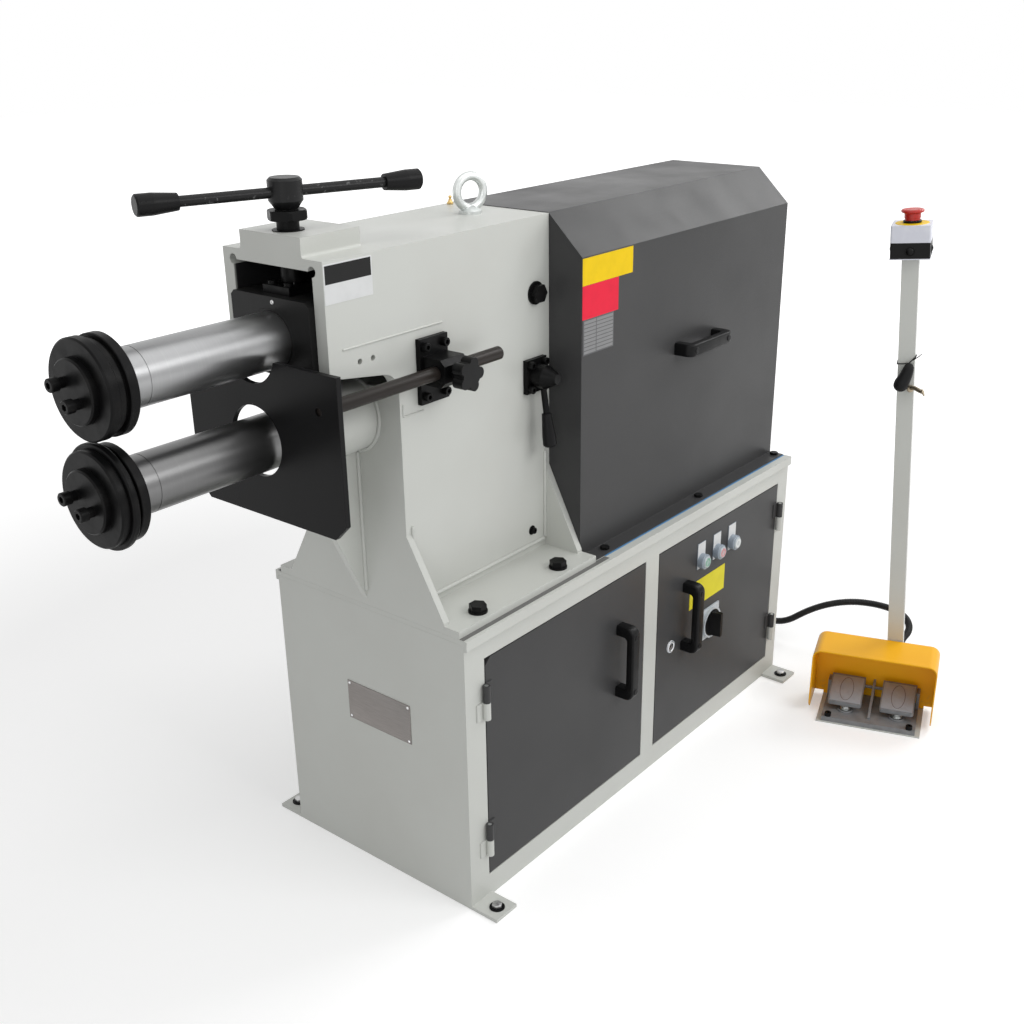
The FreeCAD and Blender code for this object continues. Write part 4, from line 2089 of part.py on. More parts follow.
def make_estop_box():
    """The stop box's black lower half on the post and its pale cover."""
    low = S.post_length
    split = low + S.estop_base_height
    high = split + S.estop_cover_height
    wall = S.estop_wall
    tray = minus("estop_tray", estop_blank("estop_tray_outside", as_size(0), low, split),
                 [estop_blank("estop_tray_inside", wall, low + wall, split + S.cut_over)])
    node("estop_base", place(tray, STATION, POST))
    outside = estop_blank("estop_lid_outside", as_size(0), split, high)
    collar = rod("estop_collar_ring", "z", (0, 0), S.estop_collar, high - wall, high + S.estop_collar_height)
    inside = estop_blank("estop_lid_inside", wall, split - S.cut_over, high - wall)
    bore_span = (split, high + S.estop_collar_height + S.cut_over)
    bore = rod("estop_bore", "z", (0, 0), S.estop_stem + S.run_clearance, *bore_span)
    lid = minus("estop_lid", union("estop_lid_blank", [outside, collar]), [inside, bore])
    node("estop_cover", place(lid, STATION, POST))
    make_estop_button(high)


def make_estop_button(face):
    collar_top = S.estop_collar_height
    cap_low = collar_top + S.estop_travel + S.free_gap
    cap_high = cap_low + S.estop_cap_height
    edge = S.estop_cap_height / 8
    node("estop_button", turned("estop_button_body", (0, 0, face), "+z", [
        (0, -S.estop_stem_length),
        (S.estop_stem, -S.estop_stem_length),
        (S.estop_stem, cap_low),
        (S.estop_neck, cap_low),
        (S.estop_neck, cap_high - edge * 4),
        (S.estop_cap, cap_high - edge * 2.5),
        (S.estop_cap, cap_high - edge),
        (S.estop_cap - edge, cap_high),
        (0, cap_high),
    ], STATION, POST))


# ---------------------------------------------------------------- small screws, glands, conduit

def make_cap_screws():
    """The socket screws of the rod clamp, the lever flange and the pedal base."""
    screws = []
    for number, (kind, x, z) in enumerate(clamp_screw_places(), start=1):
        bite = S.clamp_thickness + S.small_screw_bite
        name = f"{kind}_screw_{number}"
        screws.append(cap_screw(name, (x, plate_face, z), "-y", S.small_screw, bite))
    for number, (x, y) in enumerate(station_screw_places(), start=1):
        name = f"station_screw_{number}"
        screws.append(cap_screw(name, (x, y, base_top), "+z", S.small_screw, S.base_thickness, None, None,
                                STATION))
    node("cap_screws", group("cap_screw_set", screws))


def gland_profile(wall):
    """A gland's section from its thread behind a wall to the conduit's end."""
    behind = -(wall + S.gland_thread)
    edge = S.gland_length / 4
    return [
        (0, behind),
        (S.gland_thread, behind),
        (S.gland_thread, 0),
        (S.gland_radius, 0),
        (S.gland_radius, S.gland_length - edge),
        (S.gland_radius - edge, S.gland_length),
        (0, S.gland_length),
    ]


def make_glands():
    wall_gland = turned("cabinet_gland", (cabinet_end, S.gland_y, S.gland_height), "+x",
                        gland_profile(S.cabinet_sheet))
    post_at = (0, S.post_side / 2, S.post_gland_height)
    post_gland = turned("post_gland", post_at, "+y", gland_profile(S.post_wall), STATION, POST)
    node("conduit_glands", group("conduit_gland_set", [wall_gland, post_gland]))
    return post_gland


# The conduit's route between its straight leads at the glands, chosen by hand.
CONDUIT_ROUTE = [
    (618, -82, 54),
    (628, -150, 34),
    (652, -214, 88),
    (686, -276, 110),
    (714, -338, 110),
    (712, -398, 106),
    (672, -434, 96),
]


def conduit_path(points):
    """Straight runs joined by tangent arcs, each as large as its two runs allow."""
    edges = []
    start = points[0]
    for before, corner, after in zip(points, points[1:], points[2:]):
        way_in = corner - before
        way_out = after - corner
        turn = way_in.getAngle(way_out)
        cut_back = 0.45 * min(way_in.Length, way_out.Length)
        radius = cut_back / math.tan(turn / 2)
        print(f"conduit turn {math.degrees(turn):5.1f} degrees, radius {radius:6.1f} mm")
        way_in.normalize()
        way_out.normalize()
        enter = corner - way_in * cut_back
        leave = corner + way_out * cut_back
        bisector = (way_out - way_in).normalize()
        middle = corner + bisector * (radius / math.cos(turn / 2) - radius)
        edges.append(Part.LineSegment(start, enter).toShape())
        edges.append(Part.Arc(enter, middle, leave).toShape())
        start = leave
    edges.append(Part.LineSegment(start, points[-1]).toShape())
    return Part.Wire(edges)


def make_conduit(post_gland):
    """The stiff conduit from the cabinet's end to the post."""
    doc.recompute()
    start = FreeCAD.Vector(cabinet_end.value + S.gland_length.value, S.gland_y.value, S.gland_height.value)
    lead = start + FreeCAD.Vector(S.conduit_lead.value, 0, 0)
    gland = post_gland.Placement
    end = gland.multVec(FreeCAD.Vector(0, 0, S.gland_length.value))
    tail = gland.multVec(FreeCAD.Vector(0, 0, S.gland_length.value + S.conduit_tail.value))
    points = [start, lead] + [FreeCAD.Vector(*point) for point in CONDUIT_ROUTE] + [tail, end]
    path = conduit_path(points)
    radius = S.conduit_radius.value
    way = (points[1] - points[0]).normalize()
    section = Part.Wire(Part.makeCircle(radius, start, way))
    tube = path.makePipeShell([section], True, False)
    print(f"conduit length {path.Length:.1f} mm, volume share "
          f"{tube.Volume / (math.pi * radius ** 2 * path.Length):.4f}")
    item = doc.addObject("Part::Feature", "conduit_tube")
    item.Shape = tube
    node("conduit", item)


# ---------------------------------------------------------------- assembly

def build():
    make_cabinet()
    make_hinge_pins()
    make_door(left, [])
    barrel = S.bezel_barrel + S.run_clearance
    openings = [((x, button_z), barrel) for x in button_places()]
    openings.append(((switch_x, S.switch_height), S.switch_barrel + S.run_clearance))
    openings.append(((lock_x, S.lock_height), S.lock_barrel + S.run_clearance))
    make_door(right, openings)
    left_handle_x = left.free_edge - S.left_handle_inset
    right_handle_x = right.free_edge + S.right_handle_inset
    make_handle("left_door_handle", door_face, left_handle_x, S.door_handle_low, True)
    make_handle("right_door_handle", door_face, right_handle_x, S.door_handle_low, True)
    make_handle("hood_handle", -S.hood_half, bench + S.hood_handle_height, S.hood_handle_place, False)
    make_controls()
    make_switch_knob()
    make_key_lock()
    make_buttons()
    make_cabinet_top()
    make_column()
    make_tube_bushes()
    make_base_bolts()
    make_eyebolt()
    make_swing_arm()
    make_arm_bushes()
    make_pivot_pins()
    make_foot_retainer()
    make_screw_foot()
    make_adjust_screw()
    make_screw_nut()
    make_stop_nut()
    make_tee_bar()
    make_tee_grips()
    upper_rear = column_front - S.upper_roller_place
    lower_rear = column_front - S.lower_roller_place
    make_shaft("upper_shaft", upper_axis, upper_rear, gear_rear)
    make_shaft("lower_shaft", lower_axis, lower_rear, gearbox_front + S.gearbox_bore - S.cut_over)
    make_upper_roller(upper_rear)
    make_lower_roller(lower_rear)
    make_end_cap("upper_cap", upper_axis, upper_rear, S.upper_screw_angle)
    make_end_cap("lower_cap", lower_axis, lower_rear, S.lower_screw_angle)
    make_gear("upper_gear", upper_axis, 180 + 180 / S.gear_teeth)
    make_gear("lower_gear", lower_axis, as_size(0))
    make_gauge_plate()
    make_gauge_rod()
    make_rod_clamp()
    make_clamp_knob()
    make_lever_flange()
    make_lock_lever()
    make_lever_grip()
    make_drive_bracket()
    make_gearbox()
    make_motor()
    make_hood()
    make_hood_bolts()
    make_control_panel()
    make_station_frame()
    make_pedal_base()
    make_pedals()
    make_pedal_guard()
    make_estop_box()
    make_cap_screws()
    make_conduit(make_glands())
    doc.recompute()


def check_document():
    """Stops if any object failed or a sub-part has no sound shape."""
    for item in doc.Objects:
        if "Invalid" in item.State or "Error" in item.State:
            raise RuntimeError(f"{item.Label} failed: {item.State}")
    for item in nodes:
        if item.Shape.isNull() or not item.Shape.isValid():
            raise RuntimeError(f"{item.Label} has no sound shape")


def write_parts():
    os.makedirs("parts", exist_ok=True)
    for item in nodes:
        item.Shape.exportStep(f"parts/{item.Label}.step")


build()
check_document()
write_parts()
print(f"{len(nodes)} sub-parts")
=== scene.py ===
import bpy
import bmesh
import math
from mathutils import Matrix, Vector


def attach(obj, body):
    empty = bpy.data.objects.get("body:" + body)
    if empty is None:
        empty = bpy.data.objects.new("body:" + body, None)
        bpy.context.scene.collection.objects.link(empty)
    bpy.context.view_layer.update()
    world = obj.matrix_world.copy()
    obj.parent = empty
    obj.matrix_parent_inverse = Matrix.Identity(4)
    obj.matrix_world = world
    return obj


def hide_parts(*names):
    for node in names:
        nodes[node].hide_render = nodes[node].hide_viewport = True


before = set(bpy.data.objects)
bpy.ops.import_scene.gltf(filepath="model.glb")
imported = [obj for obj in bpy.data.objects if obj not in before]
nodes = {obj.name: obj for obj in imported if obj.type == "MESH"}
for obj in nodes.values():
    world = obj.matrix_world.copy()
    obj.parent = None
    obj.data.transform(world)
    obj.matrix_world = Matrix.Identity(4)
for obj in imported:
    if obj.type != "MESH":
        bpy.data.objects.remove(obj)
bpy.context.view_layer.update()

# Pieces are modelled in millimetres and brought to metres as each is finished.
# Finishes read places in metres.

MM = 0.001

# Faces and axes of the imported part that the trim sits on, in millimetres.
CABINET_END = -500
CABINET_TOP = 488
DOOR_FACE = -202
HOOD_FACE = -161
PLATE_FACE = 97
LOWER_AXIS = 798
UPPER_AXIS = 934
SCREW_AXIS = -592
BUTTONS = {"start": 170, "stop": 226, "jog": 282}
BUTTON_HEIGHT = 375

# Degrees by which the foot station is turned away from the doors, and by which its post leans.
STATION_TURN = 71.4
POST_LEAN = 3.95

UP = (0, 0, 1)


# ---------------------------------------------------------------- camera and studio

def make_camera():
    """A camera at standing height, ahead of the rollers on the door side."""
    lens = bpy.data.cameras.new("camera")
    lens.lens = 44.064
    lens.sensor_width = 36
    lens.shift_x = -0.0058
    lens.shift_y = 0.0195
    camera = bpy.data.objects.new("camera", lens)
    turn = Matrix.Rotation(math.radians(-50.84), 4, "Z")
    lean = Matrix.Rotation(math.radians(66.77), 4, "X")
    roll = Matrix.Rotation(math.radians(-0.72), 4, "Z")
    camera.matrix_world = Matrix.Translation((-1.6993, -1.2839, 1.3528)) @ turn @ lean @ roll
    bpy.context.collection.objects.link(camera)
    bpy.context.scene.camera = camera


def seen_directly(tree):
    """1 for rays that come from the camera, a mirror or a pane."""
    path = tree.nodes.new("ShaderNodeLightPath")
    seen = path.outputs["Is Camera Ray"]
    for ray in ("Is Glossy Ray", "Is Transmission Ray"):
        either = tree.nodes.new("ShaderNodeMath")
        either.operation = "MAXIMUM"
        tree.links.new(seen, either.inputs[0])
        tree.links.new(path.outputs[ray], either.inputs[1])
        seen = either.outputs[0]
    return seen


def make_softbox(name, at, aim, width, height, power):
    """A rectangular lamp of some watts that faces its aim."""
    light = bpy.data.lights.new(name, "AREA")
    light.shape = "RECTANGLE"
    light.size = width
    light.size_y = height
    light.energy = power
    lamp = bpy.data.objects.new(name, light)
    facing = (Vector(at) - Vector(aim)).to_track_quat("Z", "Y").to_matrix().to_4x4()
    lamp.matrix_world = Matrix.Translation(at) @ facing
    bpy.context.collection.objects.link(lamp)


def make_studio():
    """Four softboxes, in a world that is dim as a light and white where it is seen."""
    world = bpy.data.worlds.new("studio")
    world.use_nodes = True
    tree = world.node_tree
    sky = tree.nodes["Background"]
    sky.inputs["Color"].default_value = (1, 1, 1, 1)
    sky.inputs["Strength"].default_value = 0.42
    white = tree.nodes.new("ShaderNodeBackground")
    white.inputs["Color"].default_value = (1, 1, 1, 1)
    white.inputs["Strength"].default_value = 1
    choose = tree.nodes.new("ShaderNodeMixShader")
    tree.links.new(seen_directly(tree), choose.inputs[0])
    tree.links.new(sky.outputs[0], choose.inputs[1])
    tree.links.new(white.outputs[0], choose.inputs[2])
    tree.links.new(choose.outputs[0], tree.nodes["World Output"].inputs["Surface"])
    bpy.context.scene.world = world
    make_softbox("overhead_softbox", (-0.2, -0.5, 3.4), (0, 0, 0.6), 3.2, 2.2, 21)
    make_softbox("door_side_softbox", (0.3, -3.4, 2.8), (0, 0, 0.6), 2.6, 1.4, 50)
    make_softbox("roller_side_softbox", (-3.3, -1.5, 1.9), (-0.3, 0, 0.7), 0.9, 1.6, 13)
    make_softbox("hood_end_softbox", (3.0, -1.1, 2.9), (0.2, 0, 0.9), 1.6, 1.6, 42)


def make_floor():
    """A pale matt floor that keeps the shadow and fades to white far off."""
    near, far, dim, bright = 1.3, 4.0, 0.3, 1.0
    bm = bmesh.new()
    bmesh.ops.create_grid(bm, x_segments=1, y_segments=1, size=14)
    mesh = bpy.data.meshes.new("studio_floor")
    bm.to_mesh(mesh)
    bm.free()
    material = bpy.data.materials.new("pale_floor")
    material.use_nodes = True
    tree = material.node_tree
    surface = tree.nodes["Principled BSDF"]
    surface.inputs["Base Color"].default_value = (0.86, 0.86, 0.86, 1)
    surface.inputs["Roughness"].default_value = 0.9
    surface.inputs["Specular IOR Level"].default_value = 0
    lift = tree.nodes.new("ShaderNodeEmission")
    where = tree.nodes.new("ShaderNodeTexCoord")
    reach = tree.nodes.new("ShaderNodeVectorMath")
    reach.operation = "LENGTH"
    spread = tree.nodes.new("ShaderNodeMapRange")
    for socket, value in (("From Min", near), ("From Max", far), ("To Min", dim), ("To Max", bright)):
        spread.inputs[socket].default_value = value
    tree.links.new(where.outputs["Object"], reach.inputs[0])
    tree.links.new(reach.outputs["Value"], spread.inputs["Value"])
    tree.links.new(spread.outputs[0], lift.inputs["Strength"])
    both = tree.nodes.new("ShaderNodeAddShader")
    choose = tree.nodes.new("ShaderNodeMixShader")
    tree.links.new(surface.outputs[0], both.inputs[0])
    tree.links.new(lift.outputs[0], both.inputs[1])
    tree.links.new(seen_directly(tree), choose.inputs[0])
    tree.links.new(surface.outputs[0], choose.inputs[1])
    tree.links.new(both.outputs[0], choose.inputs[2])
    tree.links.new(choose.outputs[0], tree.nodes["Material Output"].inputs["Surface"])
    mesh.materials.append(material)
    floor = bpy.data.objects.new("studio_floor", mesh)
    bpy.context.collection.objects.link(floor)


bpy.context.scene.view_settings.view_transform = "Standard"
make_camera()
make_studio()
make_floor()


# ---------------------------------------------------------------- finishes

class Finish:
    """A paint, metal or moulding whose look is built up from shader nodes."""

    def __init__(self, name, colour, roughness, metallic=0.0, edge=0.0):
        """A plain surface; with an edge, its corners catch light over that many metres."""
        self.material = bpy.data.materials.new(name)
        self.material.use_nodes = True
        self.tree = self.material.node_tree
        self.surface = self.tree.nodes["Principled BSDF"]
        self.colour = colour
        self.surface.inputs["Base Color"].default_value = (*colour, 1)
        self.surface.inputs["Roughness"].default_value = roughness
        self.surface.inputs["Metallic"].default_value = metallic
        self.where = self.tree.nodes.new("ShaderNodeTexCoord").outputs["Object"]
        self.normal = None
        if edge:
            worn = self.tree.nodes.new("ShaderNodeBevel")
            worn.samples = 4
            worn.inputs["Radius"].default_value = edge
            self.normal = worn.outputs[0]
            self.tree.links.new(self.normal, self.surface.inputs["Normal"])

    def set(self, socket, value):
        """Sets a value that is the same all over the surface."""
        self.surface.inputs[socket].default_value = value

    def feed(self, socket, value):
        """Gives an input another node's output to follow, or a plain value."""
        if isinstance(value, bpy.types.NodeSocket):
            self.tree.links.new(value, socket)
        else:
            socket.default_value = value

    def node(self, kind, inputs, **settings):
        """Adds a node, with its settings made before its inputs are fed."""
        item = self.tree.nodes.new("ShaderNode" + kind)
        for key, value in settings.items():
            setattr(item, key, value)
        for key, value in inputs.items():
            self.feed(item.inputs[key], value)
        return item

    def math(self, operation, *values):
        """Works one sum on its values."""
        return self.node("Math", dict(enumerate(values)), operation=operation).outputs[0]

    def ramp(self, value, low, high, to_low=0.0, to_high=1.0):
        """Follows value from low to high, and holds beyond them."""
        return self.node("MapRange", {"Value": value, "From Min": low, "From Max": high,
                                      "To Min": to_low, "To Max": to_high}, clamp=True).outputs[0]

    def grain(self, scale, detail=2.0, stretch=(1, 1, 1), where=None):
        """Noise with about `scale` spots to the metre."""
        spread = self.node("Mapping", {"Vector": where or self.where, "Scale": stretch})
        inputs = {"Vector": spread.outputs[0], "Scale": scale, "Detail": detail}
        return self.node("TexNoise", inputs).outputs[0]

    def off_axis(self, axis, centre):
        """Place along an axis, and distance from it."""
        shifted = self.node("VectorMath", {0: self.where, 1: centre}, operation="SUBTRACT").outputs[0]
        parts = self.node("SeparateXYZ", {0: shifted})
        along = parts.outputs["XYZ".index(axis)]
        across = [parts.outputs[i] for i in range(3) if "XYZ"[i] != axis]
        out = self.node("CombineXYZ", {0: across[0], 1: across[1]}).outputs[0]
        return along, self.node("VectorMath", {0: out}, operation="LENGTH").outputs["Value"]

    def lathe(self, centre):
        """Coordinates for the rings that a lathe leaves round a shaft along X."""
        along, reach = self.off_axis("X", centre)
        return self.node("CombineXYZ", {0: along, 1: reach}).outputs[0]

    def tint(self, colour, amount):
        """Blends another colour in, where amount says."""
        under = self.surface.inputs["Base Color"]
        below = under.links[0].from_socket if under.links else (*self.colour, 1)
        mix = self.node("Mix", {}, data_type="RGBA")
        # The mix node's factor, and its two colours; its other inputs are for other kinds of data.
        for slot, value in ((0, amount), (6, below), (7, (*colour, 1))):
            self.feed(mix.inputs[slot], value)
        self.tree.links.new(mix.outputs[2], under)

    def sheen_spread(self, amount, low, high):
        """Roughness between low and high, where amount says."""
        self.tree.links.new(self.ramp(amount, 0.3, 0.7, low, high), self.surface.inputs["Roughness"])

    def bump(self, height, depth, strength=1.0):
        """Raises the surface by height, to a depth in metres."""
        inputs = {"Height": height, "Distance": depth, "Strength": strength}
        if self.normal:
            inputs["Normal"] = self.normal
        self.normal = self.node("Bump", inputs).outputs[0]
        self.tree.links.new(self.normal, self.surface.inputs["Normal"])


def powder_coat(name, colour, shade, roughness, edge=0.0012):
    """Sprayed and baked paint: faint cloudiness, orange peel and slightly uneven gloss."""
    coat = Finish(name, colour, roughness, edge=edge)
    coat.tint(shade, coat.ramp(coat.grain(5.5, 3.0), 0.42, 0.72, 0.0, 0.55))
    speckle = tuple(min(1, c * 1.13) for c in colour)
    coat.tint(speckle, coat.ramp(coat.grain(1700, 1.0), 0.55, 0.8, 0.0, 0.55))
    coat.sheen_spread(coat.grain(9, 4.0), roughness - 0.05, roughness + 0.07)
    coat.bump(coat.grain(420, 2.0), 0.00006)
    return coat


def pale_coat(name):
    """The pale grey paint that the cabinet, the column and the foot station share."""
    return powder_coat(name, (0.585, 0.598, 0.565), (0.54, 0.545, 0.51), 0.36)


def make_column_paint():
    """The pale paint outside the column, and painted shade that darkens its inside faces to near black."""
    coat = pale_coat("column_paint")
    parts = coat.node("SeparateXYZ", {0: coat.where})
    side = coat.math("ABSOLUTE", parts.outputs["Y"])
    painted_shade_inside = coat.ramp(side, 0.0776, 0.0772)
    # Behind the head's front edge, above its floor and below its roof.
    for outlet, out, within in (("X", -0.626, -0.622), ("Z", 0.862, 0.87), ("Z", 1.0316, 1.0312)):
        painted_shade_inside = coat.math("MULTIPLY", painted_shade_inside, coat.ramp(parts.outputs[outlet], out, within))
    # Painted shade: the inside faces, where the column's own shadow falls, are tinted near black.
    coat.tint((0.02, 0.02, 0.021), painted_shade_inside)
    return coat.material


def make_hood_paint():
    """Dark grey satin paint with a fine speckle and soft smudges in its gloss."""
    coat = powder_coat("dark_paint", (0.052, 0.052, 0.0528), (0.044, 0.044, 0.045), 0.36)
    coat.tint((0.095, 0.095, 0.097), coat.ramp(coat.grain(2600, 0.0), 0.58, 0.74, 0.0, 0.5))
    coat.set("Specular IOR Level", 0.16)
    return coat.material


def make_black_paint():
    """Black satin paint on the gauge plate and the drive bracket."""
    coat = powder_coat("black_paint", (0.007, 0.007, 0.0074), (0.01, 0.01, 0.0104), 0.32, 0.0008)
    coat.set("Specular IOR Level", 0.1)
    return coat.material


def make_arm_paint():
    """Black paint over the swing arm's rough casting."""
    coat = powder_coat("cast_black", (0.009, 0.009, 0.009), (0.014, 0.0135, 0.013), 0.38, 0.0015)
    coat.set("Specular IOR Level", 0.15)
    coat.bump(coat.grain(95, 3.0), 0.0003, 0.6)
    return coat.material


def blackened(name, centre=None, roughness=0.34):
    """Steel with a black oxide skin, oiled; turned pieces keep fine lathe marks."""
    skin = Finish(name, (0.004, 0.004, 0.0042), roughness, edge=0.0007)
    skin.set("Specular IOR Level", 0.1)
    skin.tint((0.011, 0.0105, 0.01), skin.ramp(skin.grain(38, 4.0), 0.5, 0.75, 0.0, 0.7))
    skin.sheen_spread(skin.grain(60, 3.0), roughness - 0.07, roughness + 0.1)
    if centre:
        skin.bump(skin.grain(1500, 1.0, where=skin.lathe(centre)), 0.00005)
    else:
        skin.bump(skin.grain(700, 2.0), 0.00006)
    return skin.material


def make_rod_skin():
    """Drawn bar browned by its oxide, rubbed paler where the clamp has slid on it."""
    skin = Finish("drawn_bar", (0.016, 0.0125, 0.0105), 0.36, metallic=0.1)
    skin.set("Specular IOR Level", 0.2)
    skin.tint((0.04, 0.033, 0.029), skin.ramp(skin.grain(26, 5.0, (0.25, 1, 1)), 0.5, 0.8, 0.0, 0.6))
    skin.bump(skin.grain(600, 2.0, (0.04, 1, 1)), 0.00006)
    return skin.material


def make_tee_bar_skin():
    """Black bar whose oxide has small bright nicks, fewer at its hub."""
    skin = Finish("nicked_bar", (0.009, 0.009, 0.0094), 0.34, edge=0.0006)
    skin.set("Specular IOR Level", 0.2)
    nicks = skin.ramp(skin.grain(170, 4.0), 0.62, 0.7)
    reach = skin.off_axis("Z", (SCREW_AXIS * MM, 0, 0))[1]
    skin.tint((0.2, 0.2, 0.2), skin.math("MULTIPLY", nicks, skin.ramp(reach, 0.023, 0.03, 0.06, 0.55)))
    skin.bump(skin.grain(420, 3.0), 0.0001)
    return skin.material


def ground_shaft(name, centre, colour):
    """Ground steel: fine rings round the shaft, faint stains and a soft drag of light."""
    steel = Finish(name, colour, 0.25, metallic=1.0)
    lathe = steel.lathe(centre)
    stain, shine = tuple(c * 0.8 for c in colour), tuple(c * 1.2 for c in colour)
    steel.tint(stain, steel.ramp(steel.grain(14, 5.0), 0.5, 0.8, 0.0, 0.12))
    steel.tint(shine, steel.ramp(steel.grain(900, 2.0, where=lathe), 0.5, 0.8, 0.0, 0.35))
    steel.sheen_spread(steel.grain(22, 3.0), 0.31, 0.335)
    steel.bump(steel.grain(1900, 2.0, where=lathe), 0.00002)
    return steel.material


def bright_metal(name, colour, roughness, stain):
    """Bare metal, unevenly stained."""
    metal = Finish(name, colour, roughness, metallic=1.0, edge=0.0005)
    metal.tint(stain, metal.ramp(metal.grain(45, 4.0), 0.45, 0.75, 0.0, 0.6))
    metal.sheen_spread(metal.grain(80, 3.0), roughness - 0.06, roughness + 0.12)
    metal.bump(metal.grain(900, 2.0), 0.00004)
    return metal.material


def make_zinc():
    """Passivated zinc with a faint crystal grain."""
    zinc = Finish("zinc_steel", (0.66, 0.68, 0.67), 0.34, metallic=0.9, edge=0.0006)
    cells = zinc.node("TexVoronoi", {"Vector": zinc.where, "Scale": 260.0}).outputs["Color"]
    zinc.tint((0.5, 0.53, 0.52), zinc.ramp(cells, 0.2, 0.9, 0.0, 0.45))
    zinc.sheen_spread(zinc.grain(50, 3.0), 0.28, 0.44)
    zinc.bump(zinc.grain(500, 3.0), 0.00008)
    return zinc.material


def moulding(name, colour, roughness=0.42, grain_depth=0.00006, edge=0.001):
    """Moulded plastic with a fine spark grain."""
    plastic = Finish(name, colour, roughness, edge=edge)
    if max(colour) < 0.05:
        plastic.set("Specular IOR Level", 0.14)
    cloud = tuple(min(1, c * 1.35 + 0.002) for c in colour)
    plastic.tint(cloud, plastic.ramp(plastic.grain(30, 3.0), 0.5, 0.8, 0.0, 0.5))
    plastic.sheen_spread(plastic.grain(45, 3.0), roughness - 0.05, roughness + 0.08)
    plastic.bump(plastic.grain(1500, 1.0), grain_depth)
    return plastic.material


def make_bezel_moulding():
    """Pale plate and ring round the switch, and smoky rings round the buttons above it."""
    bezel = Finish("bezel_plastic", (0.56, 0.6, 0.63), 0.3, edge=0.0006)
    height = bezel.node("SeparateXYZ", {0: bezel.where}).outputs["Z"]
    bezel.tint((0.29, 0.34, 0.4), bezel.ramp(height, 0.3, 0.31))
    bezel.tint((0.47, 0.51, 0.55), bezel.ramp(bezel.grain(30, 3.0), 0.5, 0.8, 0.0, 0.4))
    bezel.sheen_spread(bezel.grain(45, 3.0), 0.25, 0.36)
    bezel.bump(bezel.grain(1500, 1.0), 0.00005)
    return bezel.material


def make_guard_paint():
    """Thick yellow coat on the pedal guard, scuffed a little browner low down."""
    coat = powder_coat("yellow_paint", (0.96, 0.48, 0.008), (0.9, 0.42, 0.006), 0.34, 0.002)
    coat.set("Specular IOR Level", 0.2)
    low = coat.ramp(coat.node("SeparateXYZ", {0: coat.where}).outputs["Z"], 0.003, 0.05, 1.0, 0.0)
    scuff = coat.math("MULTIPLY", low, coat.ramp(coat.grain(120, 4.0), 0.5, 0.7, 0.0, 0.5))
    coat.tint((0.5, 0.3, 0.08), scuff)
    return coat.material


def make_pedal_casting():
    """Grey die casting, rough and a little uneven in tone."""
    cast = Finish("grey_cast", (0.22, 0.226, 0.235), 0.5, edge=0.0012)
    cast.tint((0.15, 0.152, 0.155), cast.ramp(cast.grain(60, 4.0), 0.45, 0.7, 0.0, 0.7))
    cast.bump(cast.grain(520, 3.0), 0.00018)
    return cast.material


def make_tread_casting():
    """The treads' cast face, drawn over with close shallow lines."""
    cast = Finish("pedal_tread", (0.33, 0.345, 0.375), 0.5, edge=0.001)
    turn = (0, 0, math.radians(STATION_TURN))
    level = cast.node("Mapping", {"Vector": cast.where, "Rotation": turn}).outputs[0]
    lines = cast.node("TexWave", {"Vector": level, "Scale": 150.0, "Distortion": 0.6},
                      bands_direction="X").outputs["Fac"]
    cast.tint((0.27, 0.275, 0.29), cast.ramp(lines, 0.35, 0.0, 0.0, 0.5))
    cast.tint((0.26, 0.255, 0.26), cast.ramp(cast.grain(90, 4.0), 0.5, 0.75, 0.0, 0.5))
    cast.bump(lines, 0.00012)
    return cast.material


def lit_cap(name, centre, mark):
    """A milky button cap with a ring of its colour showing through."""
    cap = Finish(name, (0.42, 0.47, 0.5), 0.26)
    shifted = cap.node("VectorMath", {0: cap.where, 1: centre}, operation="SUBTRACT").outputs[0]
    flat = cap.node("VectorMath", {0: shifted, 1: (1, 0, 1)}, operation="MULTIPLY").outputs[0]
    reach = cap.node("VectorMath", {0: flat}, operation="LENGTH").outputs["Value"]
    ring = cap.math("MULTIPLY", cap.ramp(reach, 0.0038, 0.0056), cap.ramp(reach, 0.0094, 0.0078))
    cap.tint(mark, cap.ramp(reach, 0.0075, 0.0105, 0.35, 0.0))
    cap.tint(mark, cap.math("MULTIPLY", ring, 0.7))
    cap.tint((0.62, 0.65, 0.66), cap.ramp(cap.grain(200, 2.0), 0.45, 0.7, 0.0, 0.3))
    cap.bump(ring, 0.0002)
    return cap.material


def printed(name, colour, roughness=0.4):
    """Printed film on a thin plate: a touch of mottle and dust."""
    film = Finish(name, colour, roughness)
    film.set("Specular IOR Level", 0.15)
    film.tint(tuple(c * 0.86 for c in colour), film.ramp(film.grain(40, 4.0), 0.45, 0.75, 0.0, 0.5))
    film.bump(film.grain(800, 1.0), 0.00002)
    return film.material


def brushed_plate(name, colour, stretch):
    """Thin metal plate, its brushing drawn out by stretch."""
    plate = Finish(name, colour, 0.36, metallic=0.75, edge=0.0004)
    lines = plate.grain(1400, 2.0, stretch)
    plate.tint(tuple(c * 0.72 for c in colour), plate.ramp(lines, 0.4, 0.7, 0.0, 0.6))
    plate.bump(lines, 0.00003)
    return plate.material


def make_conduit_skin():
    """Black corrugated hose, dustier in its valleys."""
    hose = Finish("conduit_black", (0.008, 0.008, 0.0084), 0.4)
    hose.set("Specular IOR Level", 0.2)
    hose.tint((0.022, 0.021, 0.02), hose.ramp(hose.grain(70, 4.0), 0.5, 0.75, 0.0, 0.6))
    hose.bump(hose.grain(1200, 2.0), 0.00005)
    return hose.material


upper_axis = (0, 0, UPPER_AXIS * MM)
lower_axis = (0, 0, LOWER_AXIS * MM)

